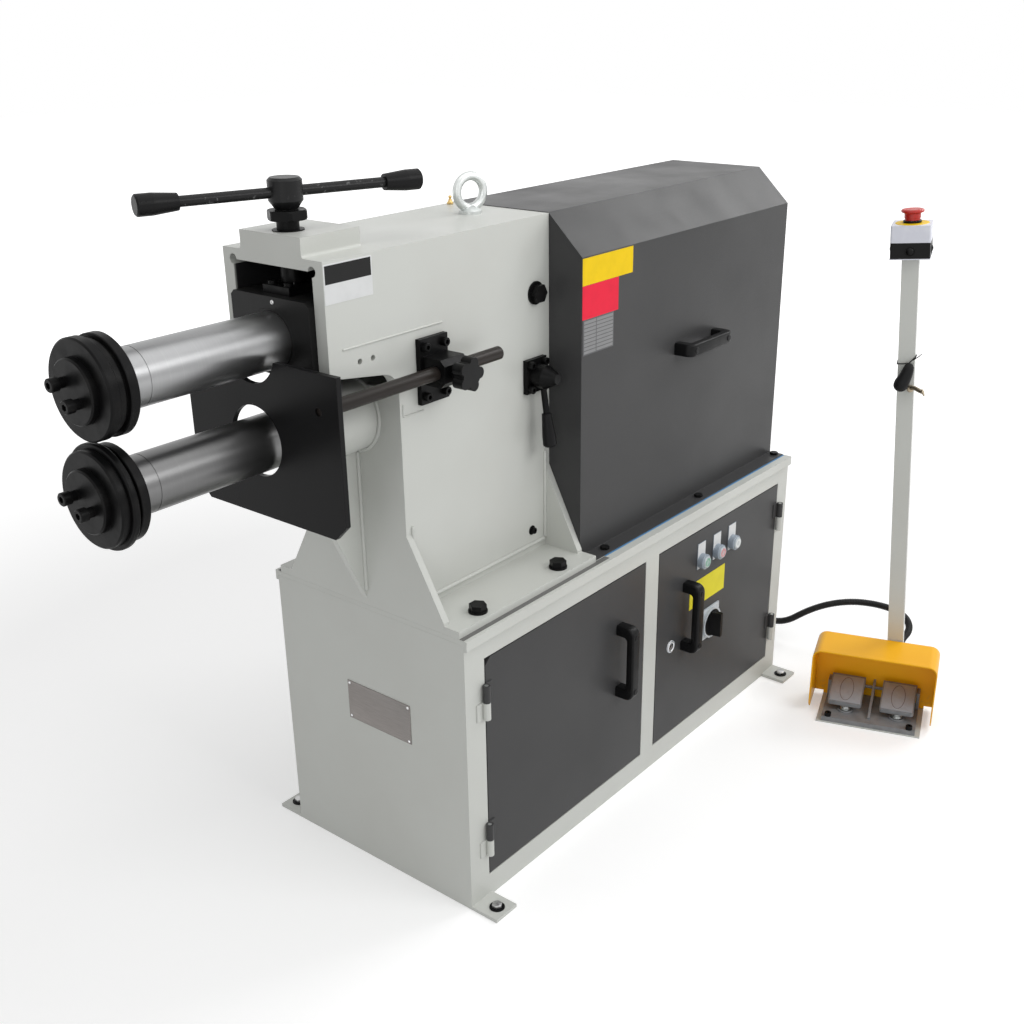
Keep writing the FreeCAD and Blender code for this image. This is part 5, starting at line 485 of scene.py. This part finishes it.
pale_paint = pale_coat("pale_paint").material
column_paint = make_column_paint()
hood_paint = make_hood_paint()
black_paint = make_black_paint()
arm_paint = make_arm_paint()
black_steel = blackened("black_steel")
upper_black = blackened("turned_black_upper", upper_axis, 0.36)
lower_black = blackened("turned_black_lower", lower_axis, 0.36)
rod_skin = make_rod_skin()
tee_bar_skin = make_tee_bar_skin()
zinc = make_zinc()
brass = bright_metal("brass", (0.72, 0.52, 0.22), 0.26, (0.5, 0.33, 0.12))
stud_brass = bright_metal("stud_brass", (0.42, 0.36, 0.27), 0.36, (0.3, 0.24, 0.17))
chrome = bright_metal("chrome", (0.74, 0.74, 0.75), 0.14, (0.6, 0.6, 0.62))
gear_steel = bright_metal("gear_steel", (0.4, 0.39, 0.38), 0.38, (0.25, 0.23, 0.21))
foot_steel = bright_metal("foot_steel", (0.5, 0.5, 0.5), 0.3, (0.35, 0.34, 0.33))
black_moulding = moulding("black_plastic", (0.005, 0.005, 0.0053), 0.36)
soft_rubber = moulding("black_rubber", (0.009, 0.009, 0.0095), 0.5, 0.0001)
white_moulding = moulding("white_plastic", (0.7, 0.715, 0.79), 0.34)
red_moulding = moulding("red_plastic", (0.47, 0.015, 0.009), 0.34)
pale_ring = make_bezel_moulding()
guard_paint = make_guard_paint()
pedal_casting = make_pedal_casting()
tread_casting = make_tread_casting()
drive_paint = powder_coat("drive_paint", (0.09, 0.17, 0.24), (0.07, 0.14, 0.2), 0.4).material
motor_paint = powder_coat("motor_paint", (0.12, 0.2, 0.27), (0.09, 0.16, 0.22), 0.42).material
conduit_skin = make_conduit_skin()
label_yellow = printed("label_yellow", (0.9, 0.61, 0.0015))
label_lemon = printed("label_lemon", (0.78, 0.69, 0.03))
label_red = printed("label_red", (0.84, 0.014, 0.05))
label_white = printed("label_white", (0.72, 0.73, 0.73))
label_black = printed("label_black", (0.012, 0.012, 0.012), 0.34)
label_brown = printed("oval_line", (0.17, 0.125, 0.12))
label_grey = printed("label_grey", (0.13, 0.13, 0.135))
film_blue = printed("blue_film", (0.1, 0.27, 0.5), 0.3)
sealing_strip = printed("sealing_strip", (0.16, 0.16, 0.155), 0.5)
nameplate_metal = brushed_plate("nameplate_metal", (0.27, 0.25, 0.238), (1, 0.03, 1))


def dress(material, *names):
    """Gives CAD nodes their finish."""
    for name in names:
        for entry in nodes[name].material_slots:
            entry.material = material


dress(pale_paint, "cabinet", "cabinet_top", "station_frame")
dress(column_paint, "column_frame")
dress(hood_paint, "hood", "left_door", "right_door")
dress(black_paint, "gauge_plate", "drive_bracket")
dress(arm_paint, "swing_arm", "arm_bushes")
dress(black_steel, "base_bolts", "hood_bolts", "cap_screws", "pivot_pins", "lever_flange", "lock_lever",
      "rod_clamp", "foot_retainer", "adjust_screw", "stop_nut", "shaft_bushes", "screw_nut")
dress(upper_black, "upper_roller", "upper_cap")
dress(lower_black, "lower_roller", "lower_cap")
dress(ground_shaft("ground_upper_shaft", upper_axis, (0.31, 0.312, 0.315)), "upper_shaft")
# Painted shade: the lower shaft is the same ground steel as the upper one, given a darker colour for the
# shade it sits in.
dress(ground_shaft("ground_lower_shaft", lower_axis, (0.17, 0.17, 0.17)), "lower_shaft")
dress(rod_skin, "gauge_rod")
dress(tee_bar_skin, "tee_bar")
dress(zinc, "eyebolt", "hinge_pins", "control_panel")
dress(gear_steel, "upper_gear", "lower_gear")
dress(foot_steel, "screw_foot")
dress(black_moulding, "tee_grips", "lever_grip", "clamp_knob", "switch_knob", "conduit_glands", "estop_base")
dress(white_moulding, "estop_cover")
dress(red_moulding, "estop_button")
dress(pale_ring, "control_bezels")
for name, mark in (("start", (0.09, 0.34, 0.19)), ("stop", (0.62, 0.13, 0.13)), ("jog", (0.78, 0.8, 0.78))):
    middle = (BUTTONS[name] / 1000, 0, BUTTON_HEIGHT / 1000)
    dress(lit_cap(name + "_cap", middle, mark), name + "_button")
dress(chrome, "key_lock")
dress(guard_paint, "pedal_guard")
dress(pedal_casting, "pedal_base", "left_pedal", "right_pedal")
dress(drive_paint, "gearbox")
dress(motor_paint, "motor")


# ---------------------------------------------------------------- shaping

def fresh(bm, before):
    """The verts made since before was taken."""
    return [v for v in bm.verts if v not in before]


def put(bm, verts, *places):
    """Moves verts by each place in turn; the last is the outermost."""
    for matrix in places:
        bmesh.ops.transform(bm, matrix=matrix, verts=verts)


def facing(at, toward):
    """The place of something built along +Z that is to point toward a direction."""
    return Matrix.Translation(at) @ Vector(toward).to_track_quat("Z", "Y").to_matrix().to_4x4()


def verts_in(geometry):
    return [item for item in geometry if isinstance(item, bmesh.types.BMVert)]


def round_over(bm, edges, offset, segments=2):
    """Rounds edges over with the editor's own settings for a bevel."""
    bmesh.ops.bevel(bm, geom=edges, offset=offset, affect="EDGES", segments=segments, profile=0.5,
                    material=-1)


def block(bm, low, high, bevel=0.0, segments=2, places=()):
    """A box from its low corner to its high one, with its edges rounded."""
    before = set(bm.verts)
    low, high = Vector(low), Vector(high)
    size = Matrix.Diagonal((*(high - low), 1))
    bmesh.ops.create_cube(bm, size=1, matrix=Matrix.Translation((low + high) / 2) @ size)
    if bevel:
        round_over(bm, [e for e in bm.edges if e.verts[0] not in before], bevel, segments)
    put(bm, fresh(bm, before), *places)


def turned(bm, profile, at, toward, steps=40, places=()):
    """Spins a profile of (radius, height) about the line through `at`; an open end is closed."""
    before = set(bm.verts)
    if profile[-1][0] > 0:
        profile = profile + [profile[0] if profile[0][0] > 0 else (0, profile[-1][1])]
    points = [bm.verts.new((radius, 0, height)) for radius, height in profile]
    edges = [bm.edges.new(pair) for pair in zip(points, points[1:])]
    bmesh.ops.spin(bm, geom=points + edges, cent=(0, 0, 0), axis=UP, angle=math.tau, steps=steps,
                   use_merge=True)
    bmesh.ops.remove_doubles(bm, verts=fresh(bm, before), dist=0.001)
    put(bm, fresh(bm, before), facing(at, toward), *places)


def hexagon(bm, radius, low, high, bevel, places=()):
    """A hexagonal bar between two heights, with its edges rounded."""
    before = set(bm.verts)
    middle = Matrix.Translation((0, 0, (low + high) / 2))
    bmesh.ops.create_cone(bm, cap_ends=True, segments=6, radius1=radius, radius2=radius, depth=high - low,
                          matrix=middle)
    round_over(bm, [e for e in bm.edges if e.verts[0] not in before], bevel)
    put(bm, fresh(bm, before), *places)


def drawn(bm, points, radii, sides, places=()):
    """Draws a round section along points, with a radius at each."""
    before = set(bm.verts)
    points = [Vector(p) for p in points]
    ahead = [b - a for a, b in zip(points, points[1:])]
    between = [a.normalized() + b.normalized() for a, b in zip(ahead, ahead[1:])]
    aims = [ahead[0]] + between + [ahead[-1]]
    turn = aims[0].to_track_quat("Z", "Y")
    edges, last = None, None
    for point, aim, radius in zip(points, aims, radii):
        turn = (turn @ Vector(UP)).rotation_difference(aim) @ turn
        size = Matrix.Diagonal((radius, radius, radius, 1))
        here = Matrix.Translation(point) @ turn.to_matrix().to_4x4() @ size
        if edges is None:
            ring = bmesh.ops.create_circle(bm, segments=sides, radius=1, matrix=here)["verts"]
            edges = [e for e in bm.edges if e.verts[0] in ring and e.verts[1] in ring]
            bmesh.ops.edgeloop_fill(bm, edges=edges)
        else:
            grown = bmesh.ops.extrude_edge_only(bm, edges=edges)["geom"]
            ring = verts_in(grown)
            edges = [g for g in grown if isinstance(g, bmesh.types.BMEdge)
                     and g.verts[0] in ring and g.verts[1] in ring]
            bmesh.ops.transform(bm, matrix=here @ last.inverted(), verts=ring)
        last = here
    bmesh.ops.edgeloop_fill(bm, edges=edges)
    put(bm, fresh(bm, before), *places)


def piece(bm, name, material, body="frame", sharp=32):
    """Closes a shape modelled in millimetres into a piece that rides on its body."""
    bmesh.ops.recalc_face_normals(bm, faces=bm.faces)
    bmesh.ops.scale(bm, vec=(MM, MM, MM), verts=bm.verts)
    mesh = bpy.data.meshes.new(name)
    bm.to_mesh(mesh)
    bm.free()
    for face in mesh.polygons:
        face.use_smooth = True
    mesh.set_sharp_from_angle(angle=math.radians(sharp))
    mesh.materials.append(material)
    item = bpy.data.objects.new(name, mesh)
    bpy.context.collection.objects.link(item)
    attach(item, body)
    return item


# Where the foot station's floor plate stands, and the post's foot on it.
STATION = Matrix.Translation((357, -376, 0)) @ Matrix.Rotation(math.radians(-STATION_TURN), 4, "Z")
POST = STATION @ Matrix.Translation((140, 135, 3)) @ Matrix.Rotation(math.radians(-POST_LEAN), 4, "Y")


# ---------------------------------------------------------------- conduit

def conduit_line():
    """The smooth line of the conduit, from the cabinet's gland to the post's."""
    route = [
        (0.5140, -0.0400, 0.0700),
        (0.5720, -0.0400, 0.0700),
        (0.6180, -0.0820, 0.0540),
        (0.6280, -0.1500, 0.0340),
        (0.6520, -0.2140, 0.0880),
        (0.6860, -0.2760, 0.1100),
        (0.7140, -0.3380, 0.1100),
        (0.7120, -0.3980, 0.1060),
        (0.6720, -0.4340, 0.0960),
        (0.6178, -0.4300, 0.0848),
        (0.5553, -0.4510, 0.0848),
    ]
    curve = bpy.data.curves.new("conduit_line", "CURVE")
    curve.dimensions = "3D"
    line = curve.splines.new("NURBS")
    line.points.add(len(route) - 1)
    for point, place in zip(line.points, route):
        point.co = (*place, 1)
    line.order_u = 3
    line.use_endpoint_u = True
    line.resolution_u = 24
    guide = bpy.data.objects.new("conduit_line", curve)
    bpy.context.collection.objects.link(guide)
    mesh = bpy.data.meshes.new_from_object(guide)
    points = [v.co.copy() for v in mesh.vertices]
    bpy.data.objects.remove(guide)
    bpy.data.meshes.remove(mesh)
    bpy.data.curves.remove(curve)
    return points


def evenly(points, step):
    """Places along a line, one step apart."""
    places, left = [points[0]], step
    for a, b in zip(points, points[1:]):
        run = (b - a).length
        while left <= run:
            places.append(a.lerp(b, left / run))
            left += step
        left -= run
    return places


def make_conduit():
    """The ribbed hose and the relief sleeve at each of its ends."""
    points = conduit_line()
    quarter_rib = 0.00085
    places = evenly(points, quarter_rib)
    crest, valley = 7.5, 6.75
    rib = (crest, crest, valley, valley)
    sleeve = 40  # places along which a relief sleeve takes its direction
    bm = bmesh.new()
    drawn(bm, [p * 1000 for p in places], [rib[n % 4] for n in range(len(places))], sides=16)
    hose = piece(bm, "conduit_hose", conduit_skin, sharp=60)
    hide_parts("conduit")
    for name, first, way in (("cabinet_relief", places[0], places[sleeve] - places[0]),
                             ("post_relief", places[-1], places[-sleeve] - places[-1])):
        bm = bmesh.new()
        turned(bm, [(7.6, 0), (11.2, 0), (11.2, 3), (10.4, 4), (10.4, 9), (9.9, 9.6), (9.9, 14),
                    (9.4, 14.6), (9.4, 19), (8.9, 19.6), (8.9, 24), (8.2, 25), (7.6, 25)],
               first * 1000, way, steps=32)
        piece(bm, name, soft_rubber)


make_conduit()


# ---------------------------------------------------------------- handles, plates and labels

def arc(u, w, radius, first, last, steps=6):
    """Points on part of a circle, from the first angle to the last in degrees."""
    turns = [math.radians(first + (last - first) * n / steps) for n in range(steps + 1)]
    return [(u + radius * math.cos(a), w + radius * math.sin(a)) for a in turns]


def make_bridge_handle(name, body, at, along):
    """A moulded bridge handle with round corners and a plug over the screw in each leg."""
    length, reach, width = 141, 36, 22
    leg, bar, outer, inner, rounding = 20, 15, 15, 6, 3.6
    outline = [(0, 0), (leg, 0)]
    outline += arc(leg + inner, reach - bar - inner, inner, 180, 90)
    outline += arc(length - leg - inner, reach - bar - inner, inner, 90, 0)
    outline += [(length - leg, 0), (length, 0)]
    outline += arc(length - outer, reach - outer, outer, 0, 90)
    outline += arc(outer, reach - outer, outer, 90, 180)
    bm = bmesh.new()
    corners = [bm.verts.new((u, -width / 2, w)) for u, w in outline]
    side = bm.faces.new(corners)
    grown = bmesh.ops.extrude_face_region(bm, geom=[side])["geom"]
    bmesh.ops.translate(bm, vec=(0, width, 0), verts=verts_in(grown))
    bmesh.ops.recalc_face_normals(bm, faces=bm.faces)
    rims = [e for e in bm.edges if abs(e.verts[0].co.y - e.verts[1].co.y) < 0.1
            and max(v.co.z for v in e.verts) > 0.5]
    round_over(bm, rims, rounding, 4)
    for u in (outer + 2, length - outer - 2):
        turned(bm, [(0, 1.2), (4.6, 1.2), (5.4, 0.6), (5.4, -3)], (u, 0, reach), UP, steps=24)
    out = Vector((0, -1, 0))
    turn = Matrix((Vector(along), Vector(along).cross(out) * -1, out)).transposed().to_4x4()
    put(bm, bm.verts[:], Matrix.Translation(at) @ turn)
    handle = piece(bm, name, black_moulding, body)
    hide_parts(name.replace("_moulding", ""))


make_bridge_handle("left_door_handle_moulding", "left_door", (-94.5, DOOR_FACE, 210), UP)
make_bridge_handle("right_door_handle_moulding", "right_door", (120, DOOR_FACE, 210), UP)
make_bridge_handle("hood_handle_moulding", "frame", (114, HOOD_FACE, 785), (1, 0, 0))


def make_nameplate():
    """Etched plate on the cabinet's end, its lettering left off, with a rivet near each corner."""
    near, far, low, high, inset = -86, 52, 266, 336, 4.5
    bm = bmesh.new()
    block(bm, (CABINET_END - 1.2, near, low), (CABINET_END, far, high), 0.3)
    front = [f for f in bm.faces if f.normal.x < -0.9 and f.calc_area() > 500]
    bmesh.ops.inset_region(bm, faces=front, thickness=3)
    bmesh.ops.inset_region(bm, faces=front, thickness=0.8, depth=-0.35)
    piece(bm, "nameplate", nameplate_metal)
    bm = bmesh.new()
    for y in (near + inset, far - inset):
        for z in (low + inset, high - inset):
            turned(bm, [(0, 1.3), (1.4, 1.1), (2.3, 0.4), (2.5, 0)], (CABINET_END - 1.1, y, z), (-1, 0, 0),
                   steps=16)
    piece(bm, "nameplate_rivets", chrome)


def make_plate(name, material, face, low, high, thickness=0.4, body="frame"):
    """A thin upright plate on a face toward -Y, between two corners given along it and up."""
    bm = bmesh.new()
    block(bm, (low[0], face - thickness, low[1]), (high[0], face, high[1]), 0.12, 1)
    piece(bm, name, material, body)


def make_hood_plates():
    """The blank plates down the hood's front edge: one yellow, one red and one ruled into cells."""
    make_plate("yellow_plate", label_yellow, HOOD_FACE, (-157, 941), (-21, 983))
    make_plate("red_plate", label_red, HOOD_FACE, (-157, 888), (-60, 940.7))
    low, high, margin, rows, gap = 831, 887.7, 1.5, 9, 0.7
    make_plate("ruled_plate", label_grey, HOOD_FACE, (-155, low), (-72, high))
    bm = bmesh.new()
    pitch = (high - low - 2 * margin) / rows
    for row in range(rows):
        foot = low + margin + row * pitch
        for left, right in ((-152.5, -121), (-119, -74.5)):
            block(bm, (left, HOOD_FACE - 0.65, foot + gap),
                  (right, HOOD_FACE - 0.3, foot + pitch - gap), 0.1, 1)
    piece(bm, "ruled_plate_cells", printed("cell_grey", (0.26, 0.262, 0.265)))


def make_labels():
    """Blank labels on the head and the right door, and a legend plate at each push button."""
    make_plate("head_label", label_white, -PLATE_FACE, (-625, 990), (-539, 1042))
    make_plate("head_label_band", label_black, -PLATE_FACE - 0.3, (-623, 1016), (-541, 1040), 0.3)
    make_plate("door_label", label_lemon, DOOR_FACE, (135, 283), (262, 336), body="right_door")
    for name, x in BUTTONS.items():
        make_plate(name + "_legend", label_white, DOOR_FACE - 1, (x - 13, BUTTON_HEIGHT - 14.5),
                   (x + 13, BUTTON_HEIGHT + 36.5), 0.3, "right_door")


def make_strips(name, material, front, rear, inner, outer, thickness):
    """A thin strip along each side of the cabinet's top."""
    bm = bmesh.new()
    for way in (-1, 1):
        low, high = sorted((way * inner, way * outer))
        block(bm, (front, low, CABINET_TOP + 0.02), (rear, high, CABINET_TOP + thickness), 0.1, 1)
    piece(bm, name, material)


make_nameplate()
make_hood_plates()
make_labels()
# Protective film that peeps out under the hood's flange, and sealer along the column's foot.
make_strips("hood_film", film_blue, -128, 497, 190, 193.2, 0.5)
make_strips("foot_strip", sealing_strip, -499, -130, 192, 202, 0.6)


# ---------------------------------------------------------------- weld beads and small fittings

def bead(bm, points, radius, pitch=3.2):
    """A painted weld bead with the ripples of its passes."""
    places = evenly([Vector(p) for p in points], pitch / 2)
    radii = [radius * (1 + 0.1 * (-1) ** n + 0.06 * math.sin(n * 1.7)) for n in range(len(places))]
    radii[0] = radii[-1] = radius * 0.5
    drawn(bm, places, radii, sides=8)


def make_weld_beads():
    """Beads at the side plates' foot and flared edges, along the front rib and round the bearing tube."""
    bm = bmesh.new()
    for way in (-1, 1):
        corner, face = way * (PLATE_FACE + 1), way * (PLATE_FACE + 0.2)
        bead(bm, [(-486, corner, 512.6), (-172, corner, 512.6)], 3.6)
        bead(bm, [(-171.2, corner, 514), (-171.2, corner, 668)], 3.0)
        bead(bm, [(-487, corner, 514), (-487, corner, 640)], 3.0)
        bead(bm, [(-501.4, way * 7.2, 514), (-501.4, way * 7.2, 742)], 3.2)
        bead(bm, [(-503, way * 7, 742.6), (-613, way * 7, 742.6)], 3.0)
        bead(bm, [(-601, face, 927), (-405, face, 927)], 1.6)
        bead(bm, [(-494, face, 826), (-494, face, 808), (-450, face, 807)], 1.5)
    tube, first, step, count = 56.2, 10, 5, 69
    turns = [math.radians(first + step * n) for n in range(count)]
    bead(bm, [(-501.6, tube * math.sin(a), LOWER_AXIS - tube * math.cos(a)) for a in turns], 3.4)
    piece(bm, "weld_beads", pale_paint, sharp=80)


def make_lock_ring():
    """Bright collar round the key lock in the door."""
    bm = bmesh.new()
    turned(bm, [(7.4, -0.5), (7.4, 2.4), (9.2, 3), (11.2, 2.2), (12.2, 0.8), (12.2, -0.5)],
           (73, DOOR_FACE, 234), (0, -1, 0), steps=48)
    piece(bm, "lock_ring", chrome, "right_door")


def make_grease_fittings():
    """The nipple on the column's top and the small plug in the swing arm's nose."""
    at = (-178, 86, 1046)
    bm = bmesh.new()
    hexagon(bm, 5.4, 0, 4, 0.5, [Matrix.Translation(at)])
    turned(bm, [(0, 14), (1.3, 13.6), (2.9, 12), (2.9, 10.8), (1.9, 9.4), (1.9, 8.2), (3.1, 7.2),
                (3.1, 5.4), (3.9, 4), (3.9, 0)], at, UP, steps=24)
    piece(bm, "grease_nipple", brass)
    bm = bmesh.new()
    turned(bm, [(0, 0.5), (1.2, 0.5), (1.2, 1.3), (2.4, 1.3), (3.1, 0.7), (3.3, 0)], (-636, -7, 985),
           (-1, 0, 0), steps=24)
    piece(bm, "arm_oil_plug", foot_steel, "swing_arm")


def make_set_screws():
    """Socket screws low in the side plates, one on each side."""
    bm = bmesh.new()
    for way in (-1, 1):
        turned(bm, [(2.6, 2), (2.6, 7), (4.6, 7), (5.2, 6.4), (5.2, 1.2), (7.6, 1.2), (8, 0.6), (8, -1),
                    (2.6, -1), (2.6, 2), (0, 2)], (-205, way * PLATE_FACE, 537), (0, way, 0), steps=32)
    piece(bm, "side_set_screws", black_steel)


def make_floor_bolts():
    """Hexagon bolts and washers that hold the feet down."""
    out_x, out_y = 475, 234
    washers, bolts = bmesh.new(), bmesh.new()
    for x in (-out_x, out_x):
        for y in (-out_y, out_y):
            at = (x, y, 0)
            turned(washers, [(0, 7.6), (12, 7.6), (12.6, 7.2), (12.6, 6.0), (0, 6.0)], at, UP, steps=32)
            hexagon(bolts, 8.6, 7.4, 13.4, 0.7, [Matrix.Translation(at) @ Matrix.Rotation(x + y, 4, "Z")])
            turned(bolts, [(0, 6.5), (4, 6.5), (4, 0.4), (0, 0.4)], at, UP, steps=24)
    piece(washers, "floor_washers", black_steel)
    piece(bolts, "floor_bolts", foot_steel)


make_weld_beads()
make_lock_ring()
make_grease_fittings()
make_set_screws()
make_floor_bolts()


# ---------------------------------------------------------------- foot station

def make_pedal_springs():
    """Return springs under the pedals, each in a round cup on the base."""
    coils, cups = bmesh.new(), bmesh.new()
    back, radius, wire, turns, low, rise, steps = 42, 9, 1.1, 3.5, 14.2, 11.5, 84
    swept = turns * math.tau
    for x in (52, 153):
        coil = [(x + radius * math.cos(a), back + radius * math.sin(a), low + rise * a / swept)
                for a in (swept * n / steps for n in range(steps + 1))]
        drawn(coils, coil, [wire] * len(coil), sides=8, places=[STATION])
        turned(cups, [(11.2, 1), (11.2, 2.4), (12, 3), (14.4, 3), (15.4, 2), (15.4, -0.5), (11.2, -0.5),
                      (11.2, 1), (0, 1)], (x, back, 13), UP, steps=48, places=[STATION])
    piece(coils, "pedal_springs", zinc, sharp=60)
    piece(cups, "spring_cups", pedal_casting)


def make_tread(name, body, low_x, high_x):
    """A raised tread pad with an oval moulded in its middle."""
    rise, length, margin = 26, 71, 2.5
    tilt = Matrix.Translation((0, 32, 34)) @ Matrix.Rotation(math.atan2(rise, length), 4, "X")
    middle = (low_x + high_x) / 2
    bm = bmesh.new()
    block(bm, (low_x + margin, margin, -0.5), (high_x - margin, length, 0.8), 0.6, 2, [tilt, STATION])
    piece(bm, name, tread_casting, body, sharp=50)
    half_width, half_length, steps = 13, 30, 60
    bm = bmesh.new()
    oval = [(middle + half_width * math.cos(a), 37 + half_length * math.sin(a), 0.75)
            for a in (math.tau * n / steps for n in range(steps + 1))]
    drawn(bm, oval, [0.55] * len(oval), sides=8, places=[tilt, STATION])
    piece(bm, name + "_oval", label_brown, body, sharp=50)


def make_stop_box_trim():
    """Yellow ring under the stop button, knock-out plugs in the box's sides and the pale plate below it."""
    lid, plug_height, half_box = (0, 0, 969), 924, 34.5
    bm = bmesh.new()
    turned(bm, [(16.2, 0), (16.2, 0.9), (28.9, 0.9), (29.5, 0.4), (29.5, 0)], lid, UP, steps=64,
           places=[POST])
    piece(bm, "stop_ring", label_yellow)
    bm = bmesh.new()
    for out in ((0, -1, 0), (0, 1, 0), (1, 0, 0), (-1, 0, 0)):
        turned(bm, [(0, 3.4), (2.4, 3.1), (4.6, 2.2), (6.2, 0.8), (6.8, 0.1), (7.3, 0.1), (7.8, 0.8),
                    (9.2, 0.8), (9.5, -0.5)],
               Vector(out) * half_box + Vector((0, 0, plug_height)), out, steps=40, places=[POST])
    turned(bm, [(13.6, 0), (13.6, 5.2), (15.2, 5.2), (16.2, 4.4), (16.2, 0)], lid, UP, steps=48,
           places=[POST])
    piece(bm, "stop_box_plugs", black_moulding)
    bm = bmesh.new()
    block(bm, (-35.2, -35.2, 909.2), (35.2, 35.2, 911), 0.6, 2, [POST])
    piece(bm, "stop_box_plate", white_moulding)


def make_hanging_grip():
    """A rubber grip tied to the post by a thin lace, over the clamp stud."""
    bm = bmesh.new()
    line = [(7, -22.5, 719), (6, -25, 712), (4, -27, 703), (-1, -29, 692), (-6, -30.5, 682), (-10, -31, 673),
            (-12, -31, 667)]
    drawn(bm, line, [5, 9.6, 10.8, 12.2, 14, 13, 5], sides=24, places=[POST])
    grip = piece(bm, "hanging_grip", soft_rubber, sharp=80)
    smooth = grip.modifiers.new("rounded", "SUBSURF")
    smooth.levels = smooth.render_levels = 1
    bm = bmesh.new()
    wrap = [(6, -22, 719), (16.2, -16.4, 728), (16.4, 0, 727), (16.2, 16.4, 724), (0, 16.4, 720),
            (-16.2, 16.4, 717), (-16.4, 0, 716), (-16.2, -16.4, 715), (-5, -19.5, 716), (6, -22, 718)]
    drawn(bm, wrap, [1.1] * len(wrap), sides=8, places=[POST])
    drawn(bm, [(12, -19, 723), (22, -19.5, 730), (27, -19, 735)], [0.9, 0.9, 0.7], sides=8, places=[POST])
    piece(bm, "grip_lace", soft_rubber, sharp=60)
    bm = bmesh.new()
    turned(bm, [(0, 4), (5.6, 4), (6.4, 3.2), (6.4, 0), (0, 0)], (9, -15, 668), (0, -1, 0), steps=28,
           places=[POST])
    drawn(bm, [(9, -18.5, 670), (17, -22, 671), (26, -30, 668.5), (33, -37, 667)], [3.5, 4.1, 4.1, 3.4],
          sides=14, places=[POST])
    drawn(bm, [(31, -36, 673), (33, -37, 667), (35, -38, 661)], [1.5, 2.4, 1.5], sides=10, places=[POST])
    piece(bm, "clamp_stud", stud_brass, sharp=50)


make_pedal_springs()
make_tread("left_tread", "left_pedal", 17, 83)
make_tread("right_tread", "right_pedal", 118, 184)
make_stop_box_trim()
make_hanging_grip()
